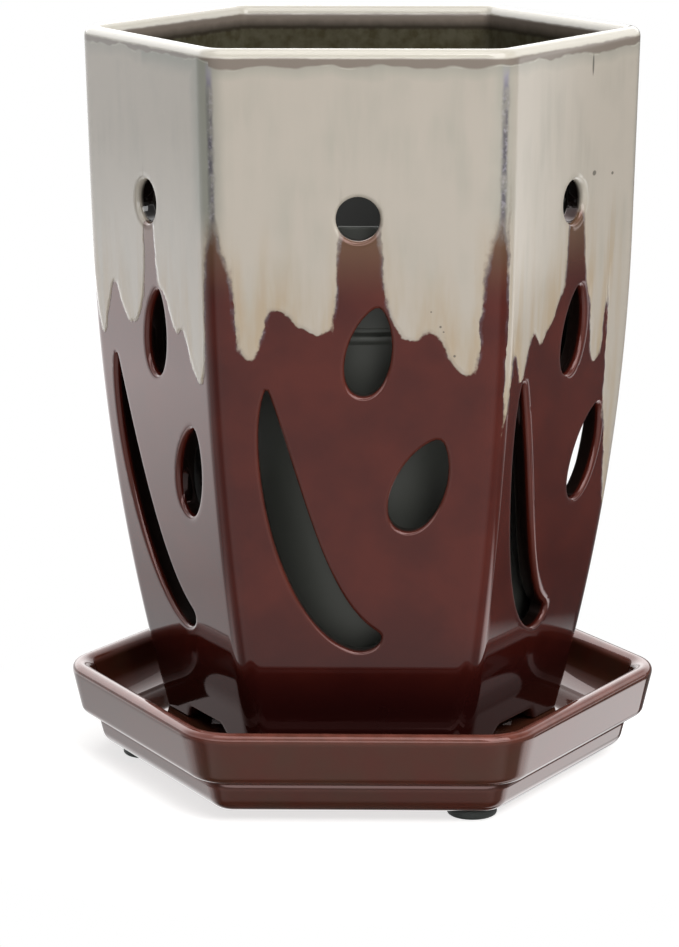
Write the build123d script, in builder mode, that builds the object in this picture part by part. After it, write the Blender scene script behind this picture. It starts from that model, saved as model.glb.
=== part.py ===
"""Hexagonal glazed orchid pot with cut-out sides, standing in its saucer with a nursery pot inside.

Millimetres, +Z up. The origin is on the ground at the centre of the saucer, the front face looks
along -Y and two corners lie on the X axis.
"""

import os
from math import atan, cos, degrees, pi, sin, sqrt

from build123d import *

# Whole object
faces = 6
overall_height = 152.4
half_turn_of_face = pi / faces
overrun = 5.0

# Rubber feet under the saucer
foot_count = 3
foot_radius = 5.0
foot_height = 2.3
foot_bevel = 0.6
foot_inset = 9.4

# Saucer: its floor reaches past the pot's foot, and each part of its wall leans out by so much
saucer_water_gap = 12.5
saucer_wall = 4.0
saucer_wall_lean = 2.4
saucer_shoulder_step = 3.5
saucer_band_lean = 1.3
saucer_height = 17.9
saucer_shoulder_height = 7.4
saucer_band_height = 3.6
saucer_floor_height = 8.3
saucer_corner_radius = 12.0
saucer_lip_radius = 1.7
saucer_recess_depth = 3.0
saucer_recess_inset = 13.0

# Pot: the rim's width across flats, and how far each face draws in below it
rim_width = 98.4
shoulder_draw = 0.9
foot_draw = 12.55
shoulder_height = 100.2
pot_wall = 4.0
pot_corner_radius = 6.0
lip_radius = 1.7
foot_ring_width = 5.0
foot_ring_depth = 3.8
pot_floor_thickness = 4.5
drain_radius = 8.0

# Drain notches in the pot's foot ring, one under each face
notch_height = 3.0
notch_top_width = 14.0
notch_base_width = 19.0
notch_round = 1.0

# Cut-outs of one face, across from its centre line and up from the pot's foot
hole_radius = 4.3
hole_across = 0.1
hole_up = 109.7
upper_leaf_length = 18.3
upper_leaf_width = 8.7
upper_leaf_across = 0.4
upper_leaf_up = 75.2
upper_leaf_tilt = 12.0
lower_leaf_length = 20.5
lower_leaf_width = 10.0
lower_leaf_across = 8.3
lower_leaf_up = 48.2
lower_leaf_tilt = 22.4
blade_width = 23.8
blade_height = 54.4
blade_across = -19.15
blade_up = 22.65

# Shares of a leaf's width and length: the handles of the curve from its blunt end to its tip
leaf_blunt_handle_shares = (0.636, 0)
leaf_tip_handle_shares = (0.691, 0.728)
# Shares of the blade's width and height: its tip, its low end and the handles of its two long edges
blade_tip_shares = (0.074, 1)
blade_heel_shares = (0.802, 0)
blade_corner_shares = (1, 0.069)
blade_outer_handle_shares = ((-0.143, 0.814), (0.123, 0.064))
blade_inner_handle_shares = ((0.553, 0.176), (0.392, 0.577))
blade_end_handle_shares = ((0.92, 0), (1.01, 0.03))

# Nursery pot standing loose on the pot's floor
nursery_height = 99.0
nursery_side_gap = 3.2
nursery_base_gap = 4.0
nursery_wall = 1.1
nursery_floor = 1.4
collar_height = 20.0
collar_taper = 0.7
bead_height = 2.4
bead_depth = 0.9
groove_height = 0.8
nursery_step = 1.5
nursery_lip_bevel = 0.3
nursery_drain_count = 6
nursery_drain_radius = 3.5
nursery_drain_share = 0.66

# Heights above the ground
saucer_base_z = foot_height
saucer_floor_z = saucer_base_z + saucer_floor_height
saucer_lip_z = saucer_base_z + saucer_height
pot_base_z = saucer_floor_z
pot_floor_under_z = pot_base_z + foot_ring_depth
pot_floor_z = pot_floor_under_z + pot_floor_thickness
shoulder_z = pot_base_z + shoulder_height
rim_z = overall_height
nursery_rim_z = pot_floor_z + nursery_height

# A pot face stands straight with a slight flare from the shoulder up, and bulges on one arc below it
shoulder_reach = rim_width / 2 - shoulder_draw
pot_foot_reach = shoulder_reach - foot_draw
flare = atan(shoulder_draw / (rim_z - shoulder_z))
chord_along_normal = foot_draw * cos(flare) - shoulder_height * sin(flare)
bulge_radius = (foot_draw**2 + shoulder_height**2) / 2 / chord_along_normal
bulge_centre = (
    shoulder_reach - bulge_radius * cos(flare),
    shoulder_z + bulge_radius * sin(flare),
)

# Distances from the axis to the faces of the saucer
wall_slope = saucer_wall_lean / (saucer_height - saucer_shoulder_height)
saucer_floor_reach = pot_foot_reach + saucer_water_gap
saucer_shoulder_z = saucer_base_z + saucer_shoulder_height
saucer_edge_reach = saucer_floor_reach + saucer_wall - wall_slope * (saucer_floor_z - saucer_shoulder_z)
saucer_lip_reach = saucer_edge_reach + saucer_wall_lean
saucer_band_reach = saucer_edge_reach - saucer_shoulder_step
saucer_base_reach = saucer_band_reach - saucer_band_lean


def half_width(height, inset=0):
    """Distance from the axis to a surface that lies inset behind a pot face, at a height."""
    if height > shoulder_z:
        return shoulder_reach + (height - shoulder_z) * sin(flare) / cos(flare) - inset / cos(flare)
    rise = height - bulge_centre[1]
    return bulge_centre[0] + sqrt((bulge_radius - inset) ** 2 - rise**2)


def pot_profile(low, high, inset):
    """Upright section of the pot, or of the space inside it, through the middle of two faces."""
    shoulder = (shoulder_reach - inset * cos(flare), shoulder_z + inset * sin(flare))
    with BuildSketch() as profile:
        with BuildLine():
            Line((0, high), (half_width(high, inset), high))
            Line((half_width(high, inset), high), shoulder)
            TangentArc(shoulder, (half_width(low, inset), low), tangent=(-sin(flare), -cos(flare)))
            Line((half_width(low, inset), low), (0, low))
            mirror(about=Plane.YZ)
        make_face()
    return profile.sketch


def hexagonal_solid(profile, corner_radius):
    """Solid whose six faces all follow one upright profile, with its upright corners rounded."""
    with BuildPart() as body:
        for opposite_pair in range(faces // 2):
            turn = half_turn_of_face * (2 * opposite_pair + 1)
            across_pair, along_pair = (cos(turn), sin(turn), 0), (sin(turn), -cos(turn), 0)
            with BuildSketch(Plane((0, 0, 0), x_dir=across_pair, z_dir=along_pair)):
                add(profile)
            extrude(amount=rim_width, both=True, mode=Mode.INTERSECT if opposite_pair else Mode.ADD)
        upright_edges = body.edges().filter_by(lambda edge: edge.bounding_box().size.Z > foot_ring_width)
        fillet(upright_edges, corner_radius)
    return body.part


def rounded_hexagon(height, reach, corner_radius):
    """Flat hexagon at a height, with its sides at one reach from the axis and its corners rounded."""
    with BuildSketch(Plane.XY.offset(height)) as outline:
        RegularPolygon(reach, faces, major_radius=False)
        fillet(outline.vertices(), corner_radius)
    return outline.sketch


def leaf(length, width):
    """Teardrop cut-out with its blunt end at the origin and its tip straight above."""
    blunt_handle = (leaf_blunt_handle_shares[0] * width, leaf_blunt_handle_shares[1] * length)
    tip_handle = (leaf_tip_handle_shares[0] * width, leaf_tip_handle_shares[1] * length)
    with BuildSketch() as teardrop:
        with BuildLine():
            Bezier((0, 0), blunt_handle, tip_handle, (0, length))
            mirror(about=Plane.YZ)
        make_face()
    return teardrop.sketch


def blade():
    """Long curved cut-out with its low left corner at the origin, from its tip down to its round end."""

    def place(shares):
        return (shares[0] * blade_width, shares[1] * blade_height)

    tip, heel, corner = place(blade_tip_shares), place(blade_heel_shares), place(blade_corner_shares)
    with BuildSketch() as curved:
        with BuildLine():
            Bezier(tip, *[place(shares) for shares in blade_outer_handle_shares], heel)
            Bezier(heel, *[place(shares) for shares in blade_end_handle_shares], corner)
            Bezier(corner, *[place(shares) for shares in blade_inner_handle_shares], tip)
        make_face()
    return curved.sketch


# Rubber feet, stuck under every second corner of the saucer
foot_circle = saucer_base_reach / cos(half_turn_of_face) - foot_inset
foot_names = ("rear", "left", "front")
rubber_feet = []
for index, place_name in enumerate(foot_names):
    turn = half_turn_of_face * 2 + index * 2 * pi / foot_count
    with BuildPart() as rubber_foot:
        with BuildSketch():
            with Locations((foot_circle * cos(turn), foot_circle * sin(turn))):
                Circle(foot_radius)
        extrude(amount=foot_height)
        chamfer(rubber_foot.edges().group_by(Axis.Z)[0], foot_bevel)
    rubber_foot.part.label = "rubber_foot_" + place_name
    rubber_feet.append(rubber_foot.part)

# Saucer: a foot band, a sloping shoulder and a leaning wall round a flat floor
saucer_inner_radius = saucer_corner_radius - saucer_wall
saucer_band_z = saucer_base_z + saucer_band_height
saucer_tiers = (
    (saucer_base_z, saucer_base_reach, saucer_band_z, saucer_band_reach),
    (saucer_band_z, saucer_band_reach, saucer_shoulder_z, saucer_edge_reach),
    (saucer_shoulder_z, saucer_edge_reach, saucer_lip_z, saucer_lip_reach),
)
with BuildPart() as saucer:
    for low_z, low_reach, high_z, high_reach in saucer_tiers:
        corner_radius = saucer_corner_radius - saucer_lip_reach + low_reach
        lean = atan((high_reach - low_reach) / (high_z - low_z))
        extrude(
            rounded_hexagon(low_z, low_reach, corner_radius),
            amount=high_z - low_z,
            taper=-degrees(lean),
        )
    extrude(
        rounded_hexagon(saucer_floor_z, saucer_floor_reach, saucer_inner_radius - saucer_wall_lean),
        amount=saucer_lip_z - saucer_floor_z,
        taper=-degrees(atan(wall_slope)),
        mode=Mode.SUBTRACT,
    )
    extrude(
        rounded_hexagon(saucer_base_z, saucer_base_reach - saucer_recess_inset, saucer_inner_radius),
        amount=saucer_recess_depth,
        mode=Mode.SUBTRACT,
    )
    fillet(saucer.edges().group_by(Axis.Z)[-1], saucer_lip_radius)
saucer.part.label = "saucer"

# Everything that is cut out of one pot face, here the front one
with BuildPart() as face_cuts:
    cut_start = pot_foot_reach - foot_ring_width - overrun
    with BuildSketch(Plane.XZ.offset(cut_start)):
        with Locations((hole_across, pot_base_z + hole_up)):
            Circle(hole_radius)
        with Locations((upper_leaf_across, pot_base_z + upper_leaf_up)):
            add(leaf(upper_leaf_length, upper_leaf_width), rotation=-upper_leaf_tilt)
        with Locations((lower_leaf_across, pot_base_z + lower_leaf_up)):
            add(leaf(lower_leaf_length, lower_leaf_width), rotation=-lower_leaf_tilt)
        with Locations((blade_across, pot_base_z + blade_up)):
            add(blade())
    extrude(amount=rim_width / 2)

# Drain notch through the foot ring under the front face
with BuildPart() as foot_notch:
    with BuildSketch(Plane.XZ.offset(cut_start)):
        with BuildLine() as notch_outline:
            Polyline(
                (-notch_base_width / 2, pot_base_z),
                (-notch_top_width / 2, pot_base_z + notch_height),
                (notch_top_width / 2, pot_base_z + notch_height),
                (notch_base_width / 2, pot_base_z),
                close=True,
            )
        make_face()
    extrude(amount=rim_width / 2)
    fillet(foot_notch.edges().filter_by(Axis.Y).group_by(Axis.Z)[-1], notch_round)

# Pot: a bulged hexagonal shell on a foot ring, cut out alike on its six faces
pot_inner_radius = pot_corner_radius - pot_wall
with BuildPart() as slotted_pot:
    add(hexagonal_solid(pot_profile(pot_base_z, rim_z, 0), pot_corner_radius))
    add(hexagonal_solid(pot_profile(pot_floor_z, rim_z, pot_wall), pot_inner_radius), mode=Mode.SUBTRACT)
    fillet(slotted_pot.edges().group_by(Axis.Z)[-1], lip_radius)
    extrude(
        rounded_hexagon(pot_base_z, pot_foot_reach - foot_ring_width, pot_inner_radius),
        amount=foot_ring_depth,
        mode=Mode.SUBTRACT,
    )
    with BuildSketch(Plane.XY.offset(pot_floor_under_z)):
        Circle(drain_radius)
    extrude(amount=pot_floor_thickness, mode=Mode.SUBTRACT)
    with PolarLocations(0, faces):
        add(face_cuts.part, mode=Mode.SUBTRACT)
        add(foot_notch.part, mode=Mode.SUBTRACT)
slotted_pot.part.label = "slotted_pot"

# Nursery pot: a thin tapered shell with a beaded collar round its mouth and holes in its base
collar_radius = half_width(nursery_rim_z, pot_wall) - nursery_side_gap
collar_low_radius = collar_radius - collar_taper
groove_radius = collar_radius - nursery_step
base_radius = half_width(pot_floor_z, pot_wall) - nursery_base_gap
collar_low_z = nursery_rim_z - collar_height
bead_top_z = collar_low_z - groove_height
bead_low_z = bead_top_z - bead_height
with BuildPart() as nursery_pot:
    with BuildSketch(Plane.XZ):
        with BuildLine():
            Polyline(
                (0, pot_floor_z),
                (base_radius, pot_floor_z),
                (groove_radius, bead_low_z),
                (groove_radius + bead_depth, bead_low_z + (bead_height - groove_height) / 2),
                (groove_radius + bead_depth, bead_top_z - (bead_height - groove_height) / 2),
                (groove_radius, bead_top_z),
                (groove_radius, collar_low_z),
                (collar_low_radius, collar_low_z),
                (collar_radius, nursery_rim_z),
                (0, nursery_rim_z),
                close=True,
            )
        make_face()
    revolve(axis=Axis.Z)
    with BuildSketch(Plane.XZ):
        with BuildLine():
            Polyline(
                (0, pot_floor_z + nursery_floor),
                (base_radius - nursery_wall, pot_floor_z + nursery_floor),
                (groove_radius - nursery_wall, bead_low_z),
                (groove_radius - nursery_wall, collar_low_z + nursery_wall),
                (collar_low_radius - nursery_wall, collar_low_z + nursery_wall),
                (collar_radius - nursery_wall, nursery_rim_z),
                (0, nursery_rim_z),
                close=True,
            )
        make_face()
    revolve(axis=Axis.Z, mode=Mode.SUBTRACT)
    chamfer(nursery_pot.edges().group_by(Axis.Z)[-1], nursery_lip_bevel)
    with BuildSketch(Plane.XY.offset(pot_floor_z)):
        with PolarLocations(base_radius * nursery_drain_share, nursery_drain_count):
            Circle(nursery_drain_radius)
    extrude(amount=nursery_floor, mode=Mode.SUBTRACT)
nursery_pot.part.label = "nursery_pot"

os.makedirs("parts", exist_ok=True)
for piece in (slotted_pot.part, saucer.part, nursery_pot.part, *rubber_feet):
    export_step(piece, "parts/" + piece.label + ".step")
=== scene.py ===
"""Hexagonal glazed orchid pot with cut-out sides, its saucer, the nursery pot inside and rubber feet.

Metres, +Z up, origin on the ground under the saucer's centre. The front face looks along -Y.
"""

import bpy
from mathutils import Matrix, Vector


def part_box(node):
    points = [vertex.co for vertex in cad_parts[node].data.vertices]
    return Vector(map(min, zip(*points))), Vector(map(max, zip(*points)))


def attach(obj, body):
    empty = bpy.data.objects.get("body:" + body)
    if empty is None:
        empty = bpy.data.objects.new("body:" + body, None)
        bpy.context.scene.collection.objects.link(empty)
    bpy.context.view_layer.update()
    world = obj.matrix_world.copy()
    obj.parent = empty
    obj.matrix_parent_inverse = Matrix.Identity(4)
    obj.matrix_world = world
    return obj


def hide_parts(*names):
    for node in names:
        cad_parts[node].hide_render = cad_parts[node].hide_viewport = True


bl_info = {
    "name": "Glazed orchid pot",
    "version": (1, 0, 0),
    "blender": (4, 5, 0),
    "location": "3D View > Sidebar > Orchid Pot",
    "description": "Builds a hexagonal orchid pot with its saucer, nursery pot and feet, and lights it",
    "category": "Object",
}

from functools import partial
from itertools import chain
from math import atan, cos, pi, radians, sin, sqrt, tan

import bmesh
import bpy
from mathutils import Matrix, Vector
from mathutils.geometry import interpolate_bezier

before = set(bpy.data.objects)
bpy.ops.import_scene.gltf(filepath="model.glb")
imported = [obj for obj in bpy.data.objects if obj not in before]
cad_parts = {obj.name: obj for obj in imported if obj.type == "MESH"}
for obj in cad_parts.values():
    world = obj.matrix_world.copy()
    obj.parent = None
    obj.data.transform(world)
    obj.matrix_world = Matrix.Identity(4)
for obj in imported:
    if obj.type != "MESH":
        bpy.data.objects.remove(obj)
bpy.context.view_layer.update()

MM = 0.001
FACES = 6
HALF_FACE_TURN = pi / FACES
POT_LOW, POT_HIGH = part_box("slotted_pot")
SAUCER_LOW, SAUCER_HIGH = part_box("saucer")
NURSERY_LOW, NURSERY_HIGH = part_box("nursery_pot")
FOOT_NODES = ("rubber_foot_left", "rubber_foot_front", "rubber_foot_rear")


def length(default, description):
    """A length setting in metres, shown in the scene's units."""
    return bpy.props.FloatProperty(
        name=description.split(",")[0],
        description=description,
        default=default,
        min=0.0,
        precision=4,
        unit="LENGTH",
    )


def colour(default, description):
    """A colour setting, written as an sRGB hex value."""
    return bpy.props.FloatVectorProperty(
        name=description.split(",")[0],
        description=description,
        default=linear(default),
        min=0.0,
        max=1.0,
        size=3,
        subtype="COLOR",
    )


def linear(hex_value):
    """Linear red, green and blue of an sRGB hex value such as C8C2B4."""
    channels = [int(hex_value[place : place + 2], 16) / 255 for place in (0, 2, 4)]
    return tuple(c / 12.92 if c <= 0.04045 else ((c + 0.055) / 1.055) ** 2.4 for c in channels)


class PotSizes(bpy.types.PropertyGroup):
    """Sizes of the slotted pot."""

    rim_reach: length(49.2 * MM, "Rim reach, from the axis to a face at the rim")
    shoulder_draw: length(0.9 * MM, "Shoulder draw, how far a face draws in from rim to shoulder")
    foot_draw: length(12.55 * MM, "Foot draw, how far a face draws in from shoulder to foot")
    shoulder_height: length(100.2 * MM, "Shoulder height, above the pot's foot")
    wall: length(4.0 * MM, "Wall, the thickness of the pot's wall")
    corner_radius: length(6.0 * MM, "Corner radius, of the six upright corners")
    cut_round: length(0.9 * MM, "Cut-out rounding, of the glazed rim round each cut-out")
    inner_cut_round: length(0.5 * MM, "Inner rounding, of the cut-outs' rims inside the pot")
    foot_ring_width: length(5.0 * MM, "Foot ring width, of the ring that the pot stands on")
    foot_ring_depth: length(3.8 * MM, "Foot ring depth, under the pot's floor")
    floor_thickness: length(4.5 * MM, "Floor thickness, of the pot's floor")
    floor_round: length(1.8 * MM, "Floor rounding, where the wall meets the floor")
    drain_radius: length(8.0 * MM, "Drain radius, of the hole in the pot's floor")
    notch_height: length(3.0 * MM, "Notch height, of the drain notches in the foot ring")
    notch_top_width: length(14.0 * MM, "Notch top width, of the drain notches")
    notch_base_width: length(19.0 * MM, "Notch base width, of the drain notches")
    hole_radius: length(4.3 * MM, "Hole radius, of the round hole in each face")
    leaf_width: length(8.7 * MM, "Upper leaf width, of the upper leaf-shaped cut-out")
    leaf_length: length(18.3 * MM, "Upper leaf length, of the upper leaf-shaped cut-out")
    low_leaf_width: length(10.0 * MM, "Lower leaf width, of the lower leaf-shaped cut-out")
    low_leaf_length: length(20.5 * MM, "Lower leaf length, of the lower leaf-shaped cut-out")
    blade_width: length(23.8 * MM, "Blade width, of the long curved cut-out")
    blade_height: length(54.4 * MM, "Blade height, of the long curved cut-out")


class SaucerSizes(bpy.types.PropertyGroup):
    """Sizes of the saucer."""

    lip_reach: length(54.38 * MM, "Lip reach, from the axis to a face at the lip, before its rounding")
    wall: length(4.0 * MM, "Saucer wall, the thickness of the saucer's wall")
    wall_lean: length(2.4 * MM, "Wall lean, how far the wall leans out")
    shoulder_step: length(3.5 * MM, "Shoulder step, how far the shoulder reaches past the foot band")
    band_lean: length(1.3 * MM, "Band lean, how far the foot band leans out")
    shoulder_height: length(7.4 * MM, "Shoulder height, above the saucer's base")
    band_height: length(5.3 * MM, "Band height, of the foot band")
    floor_height: length(8.3 * MM, "Floor height, above the saucer's base")
    corner_radius: length(12.0 * MM, "Corner radius, at the lip")
    edge_round: length(0.9 * MM, "Edge rounding, of the band edges")
    shoulder_round: length(1.2 * MM, "Shoulder rounding, under the wall")
    ledge_height: length(1.25 * MM, "Ledge height, of the slope on top of the foot band")
    ledge_lean: length(0.3 * MM, "Ledge lean, how far that slope leans in")
    cove: length(5.0 * MM, "Cove, the round between the wall and the floor inside")
    recess_depth: length(3.0 * MM, "Recess depth, under the saucer")
    recess_inset: length(13.0 * MM, "Recess inset, from the base's edge")


class NurserySizes(bpy.types.PropertyGroup):
    """Sizes of the plastic nursery pot."""

    wall: length(1.1 * MM, "Plastic wall, the thickness of the nursery pot's wall")
    floor: length(1.4 * MM, "Plastic floor, the thickness of the nursery pot's floor")
    collar_height: length(20.0 * MM, "Collar height, of the wider band round the mouth")
    collar_taper: length(0.7 * MM, "Collar taper, how far the collar draws in")
    step: length(1.5 * MM, "Step, how far the collar stands out from the side")
    bead_height: length(2.4 * MM, "Bead height, of the bead under the collar")
    bead_depth: length(0.9 * MM, "Bead depth, of the bead under the collar")
    groove_height: length(0.8 * MM, "Groove height, between the bead and the collar")
    base_radius: length(30.9 * MM, "Base radius, of the nursery pot's base")
    heel_radius: length(33.6 * MM, "Heel radius, above the slanted edge of the nursery pot's base")
    heel_height: length(3.6 * MM, "Heel height, of the slanted edge of the nursery pot's base")
    fine_round: length(0.25 * MM, "Fine rounding, of the plastic's edges")
    drain_radius: length(3.5 * MM, "Plastic drain radius, of the holes in the base")
    drain_circle: length(19.6 * MM, "Drain circle radius, that the holes in the base stand on")


class GlazeColours(bpy.types.PropertyGroup):
    """Colours of the glazes, the plastic, the rubber and the floor."""

    cream: colour("BAB1A5", "Cream glaze, which runs down over the brown one")
    cream_grey: colour("ADA79B", "Greyish cream glaze, in the streaks of the upper half")
    cream_thick: colour("B29D81", "Thick cream glaze, yellowish where it has pooled")
    brown: colour("501C13", "Brown glaze, of the pot's lower half and the saucer")
    brown_dark: colour("42150F", "Dark brown glaze, in the clouds of the brown one")
    # Painted shade: the brown is darkened towards the foot, where the saucer shades it.
    brown_foot_shade: colour("290D0D", "Deep brown glaze, thick and nearly black towards the pot's foot")
    # Thin glaze on the brown's rounded edges, partly a painted highlight where those edges catch light.
    saucer_brown: colour("44281C", "Saucer's brown glaze, a little more olive than the pot's")
    brown_thin_and_highlight: colour("8A5E52", "Thin brown glaze, where it has run off an edge")
    # Partly painted highlight: on the foot band's upper edge this copper stands in for light the edge
    # catches.
    copper: colour("7A4438", "Copper-coloured glaze, thin on the saucer's edges")
    olive: colour("66503C", "Olive glaze, where the brown one climbs high")
    violet: colour("5C585F", "Violet line, down the corners and where the two glazes mix")
    lavender: colour("9C97A3", "Lavender specks, in the violet line")
    haze: colour("94958A", "Grey-green haze, beside the corners")
    tan: colour("857A70", "Taupe band, of thin glaze under the rim")
    # Also painted highlight: on the lip this pale colour stands in for part of the bright rim highlight.
    pale: colour("C6C0B3", "Pale glaze, on the lip and along the taupe band")
    flaw: colour("4E4A44", "Flaws, pinholes and cracks in the cream")
    # The lining is painted shade: the cut-outs' walls are darkened where shade falls inside them.
    lining: colour("130C0A", "Lining, the thick dark glaze inside the cut-outs")
    inside: colour("565243", "Inside glaze, a thin olive grey")
    inside_dark: colour("45402F", "Dark inside glaze, in its mottling")
    # Painted shade: the inside wall is darkened lower down, where little light reaches.
    inside_shade: colour("1D1914", "Deep inside glaze, where the inside of the pot is dark")
    # Painted shadow line, where the lip's inner roll shades the wall below it.
    inside_shadow_line: colour("332C28", "Dark line, under the taupe band inside the mouth")
    plastic: colour("4E504B", "Plastic, of the nursery pot")
    # Painted shade: the inside of the nursery pot is darkened where the light doesn't reach.
    plastic_inside_shade: colour("191917", "Dusty plastic, inside the nursery pot")
    rubber: colour("2A2E2C", "Rubber, of the feet")
    floor: colour("F4F4F2", "Floor, which the pot stands on")


# Soft light panels: name, width and height, place, and the light they throw on what faces them, from 0 to 1
PANELS = (
    ("key_panel", (0.7, 0.7), (0.42, -0.55, 0.77), 0.84),
    ("top_panel", (0.8, 0.8), (-0.1, -0.25, 1.1), 0.45),
)
# Brightness of the studio round the pot as its glaze mirrors it: degrees from straight behind the pot,
# turning to the right, and brightness, white being 1
ROOM_ROUND = (
    (-180, 0.95), (-130, 0.95), (-117, 0.3), (-106, 0.35), (-62, 1.2), (-58.6, 1.4), (-56.6, 2.1),
    (-10, 2.1), (5, 0.4), (56.8, 0.2), (56.9, 2.6), (58.5, 2.1), (59.3, 0.8), (67, 0.4), (84, 0.4),
    (112, 0.4), (130, 0.95), (180, 0.95),
)
# Full brightness of the colour ramp that holds the round, which can't go past 1 itself
BRIGHTEST_ROOM = 3.0
# The room's upright edges lean by this many degrees from straight ahead to straight up
ROOM_LEAN = 4.8
# Where the bright table beside the saucer begins, in degrees from straight behind, and how soft its edge is
GLOW_TURN = 42.0
GLOW_SOFT = 0.6
# Brightness of the table behind the pot, what it gains towards the right, and how its far edge falls there
TABLE_GLOW = 1.6
TABLE_GLOW_RIGHT = 1.4
TABLE_FALL = 0.08
# A low bright box in front of the pot, and fainter all round it, which its level edges mirror
FRONT_BOX = 4.0
BOX_ELSEWHERE = 0.36
# How the mirrored room changes with the way that a ray goes, whose shares to the right, back and up run from
# -1 to 1: name, what it changes with, where it starts and ends, and its value at both
ROOM_CHANGES = (
    ("behind", "back", 0.0, 0.2, 0.0, 1.0),
    ("table", "table_up", -0.41, -0.5, 0.0, 1.0),
    ("table_front", "up", -0.8, -0.65, 0.0, 1.0),
    ("table_low", "up", -0.4, -0.43, 0.0, 1.0),
    ("table_side", "turn", 0.5 + GLOW_TURN / 360, 0.5 + (GLOW_TURN + GLOW_SOFT) / 360, 0.0, 1.0),
    ("low_dim", "up", -0.25, -0.37, 0.0, 0.5),
    ("high_dim", "up", -0.17, -0.14, 1.0, 0.72),
    ("under_dim", "up", -0.65, -0.85, 1.0, 0.15),
    ("ceiling", "up", 0.12, 0.22, 0.0, 1.0),
    ("ceiling_back", "back", 0.2, 0.7, 1.0, 2.6),
    ("ceiling_side", "right", -0.6, 0.6, 1.5, 0.4),
    ("box_foot", "up", 0.1, 0.14, 0.0, 1.0),
    ("box_top", "up", 0.5, 0.4, 0.0, 1.0),
    ("box_round", "back", -0.5, -0.7, BOX_ELSEWHERE, 1.0),
)
# Between these distances from the pot the floor turns plain white, like the backdrop
SHADOW_NEAR = 50 * MM
SHADOW_FAR = 105 * MM
# Light that the floor near the pot gives off itself, so that the shadow on it stays faint
FLOOR_LIFT = 0.7
# Half the floor's width, in metres
FLOOR_HALF = 4.0
# Width of the camera's sensor, in millimetres, and how far the camera sees, in metres
SENSOR_WIDTH = 36
CAMERA_FAR = 20.0


class StageSettings(bpy.types.PropertyGroup):
    """The camera and the light."""

    camera_distance: length(687.9 * MM, "Camera distance, from the pot's axis")
    camera_height: length(215.2 * MM, "Camera height, above the ground")
    camera_pitch: bpy.props.FloatProperty(
        name="Camera pitch",
        description="How far the camera looks down",
        default=radians(12.69),
        subtype="ANGLE",
    )
    camera_turn: bpy.props.FloatProperty(
        name="Camera turn",
        description="How far round to the right of straight ahead the camera stands",
        default=radians(1.0),
        subtype="ANGLE",
    )
    focal_length: bpy.props.FloatProperty(
        name="Focal length", description="Focal length of the lens, in millimetres", default=129.86
    )
    object_right_share: bpy.props.FloatProperty(
        name="Right of centre",
        description="How far right of the middle the pot stands, as a share of the image",
        default=0.0236,
    )
    room_light: bpy.props.FloatProperty(
        name="Room light", description="Strength of the even light from all round", default=0.15, min=0.0
    )
    panel_light: bpy.props.FloatProperty(
        name="Panel light",
        description="Share of their full light that the soft panels give",
        default=1.0,
        min=0.0,
    )


# Margin kept flat beside every rounding, so that the rounding's shading doesn't spread over a face
GUARD = 0.8 * MM
CORNER_STEP = radians(5)
STEPS_PER_HALF_CORNER = 6
# Level edges that let a face follow its bulge
LEVELS = 56


class PotForm:
    """Where the faces of the slotted pot stand, worked out from its sizes."""

    def __init__(self, sizes):
        self.sizes = sizes
        self.base = POT_LOW[2]
        self.rim = POT_HIGH[2]
        self.under_floor = self.base + sizes.foot_ring_depth
        self.floor = self.under_floor + sizes.floor_thickness
        self.shoulder = self.base + sizes.shoulder_height
        self.shoulder_reach = sizes.rim_reach - sizes.shoulder_draw
        self.slope = sizes.shoulder_draw / (self.rim - self.shoulder)
        flare = atan(self.slope)
        chord = sizes.foot_draw * cos(flare) - sizes.shoulder_height * sin(flare)
        self.bulge = (sizes.foot_draw**2 + sizes.shoulder_height**2) / 2 / chord
        self.bulge_axis = self.shoulder_reach - self.bulge * cos(flare)
        self.bulge_height = self.shoulder + self.bulge * sin(flare)

    def reach(self, height):
        """Distance from the pot's axis to the outside of a face, at a height."""
        if height > self.shoulder:
            return self.shoulder_reach + (height - self.shoulder) * self.slope
        return self.bulge_axis + sqrt(self.bulge**2 - (height - self.bulge_height) ** 2)

    def half_flat(self, height):
        """Half the width of the flat part of a face, between its rounded corners."""
        return (self.reach(height) - self.sizes.corner_radius) * tan(HALF_FACE_TURN)

    def side(self, height):
        """Half the width of a face's flat part inside its guard margins."""
        return self.half_flat(height) - GUARD

    def corner_gap(self, across, height):
        """Distance along the face from a spot to the middle of the nearest corner."""
        return self.half_flat(height) + self.sizes.corner_radius * HALF_FACE_TURN - abs(across)

    def bend(self, spot):
        """Point on the front face of a spot: its distance across, its depth in the wall and its height."""
        across, depth, height = spot
        radius = self.sizes.corner_radius
        centre = self.reach(height) - radius
        past_flat = abs(across) - self.half_flat(height)
        if past_flat <= 0:
            return Vector((across, depth - centre - radius, height))
        turn = past_flat / radius
        side = 1 if across > 0 else -1
        out = side * (self.half_flat(height) + (radius - depth) * sin(turn))
        return Vector((out, -centre - (radius - depth) * cos(turn), height))


def extrude_row(bm, row, closed):
    """Extrudes the edges of an ordered row of vertices, and returns the new row in the same order."""
    ends = row[1:] + row[:1] if closed else row[1:]
    edges = [bm.edges.get(pair) for pair in zip(row, ends)]
    made = bmesh.ops.extrude_edge_only(bm, edges=edges)["geom"]
    fresh = {item for item in made if isinstance(item, bmesh.types.BMVert)}
    beside = [[edge.other_vert(vert) for edge in vert.link_edges] for vert in row]
    return [next(other for other in others if other in fresh) for others in beside]


def wire(bm, spots, closed):
    """Joins spots in a row with edges, and returns the row's vertices."""
    row = [bm.verts.new(spot) for spot in spots]
    for pair in zip(row, row[1:] + row[:1] if closed else row[1:]):
        bm.edges.new(pair)
    return row


def row_edges(bm, row, closed=True):
    """The edges that join an ordered row of vertices."""
    return [bm.edges.get(pair) for pair in zip(row, row[1:] + row[:1] if closed else row[1:])]


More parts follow.
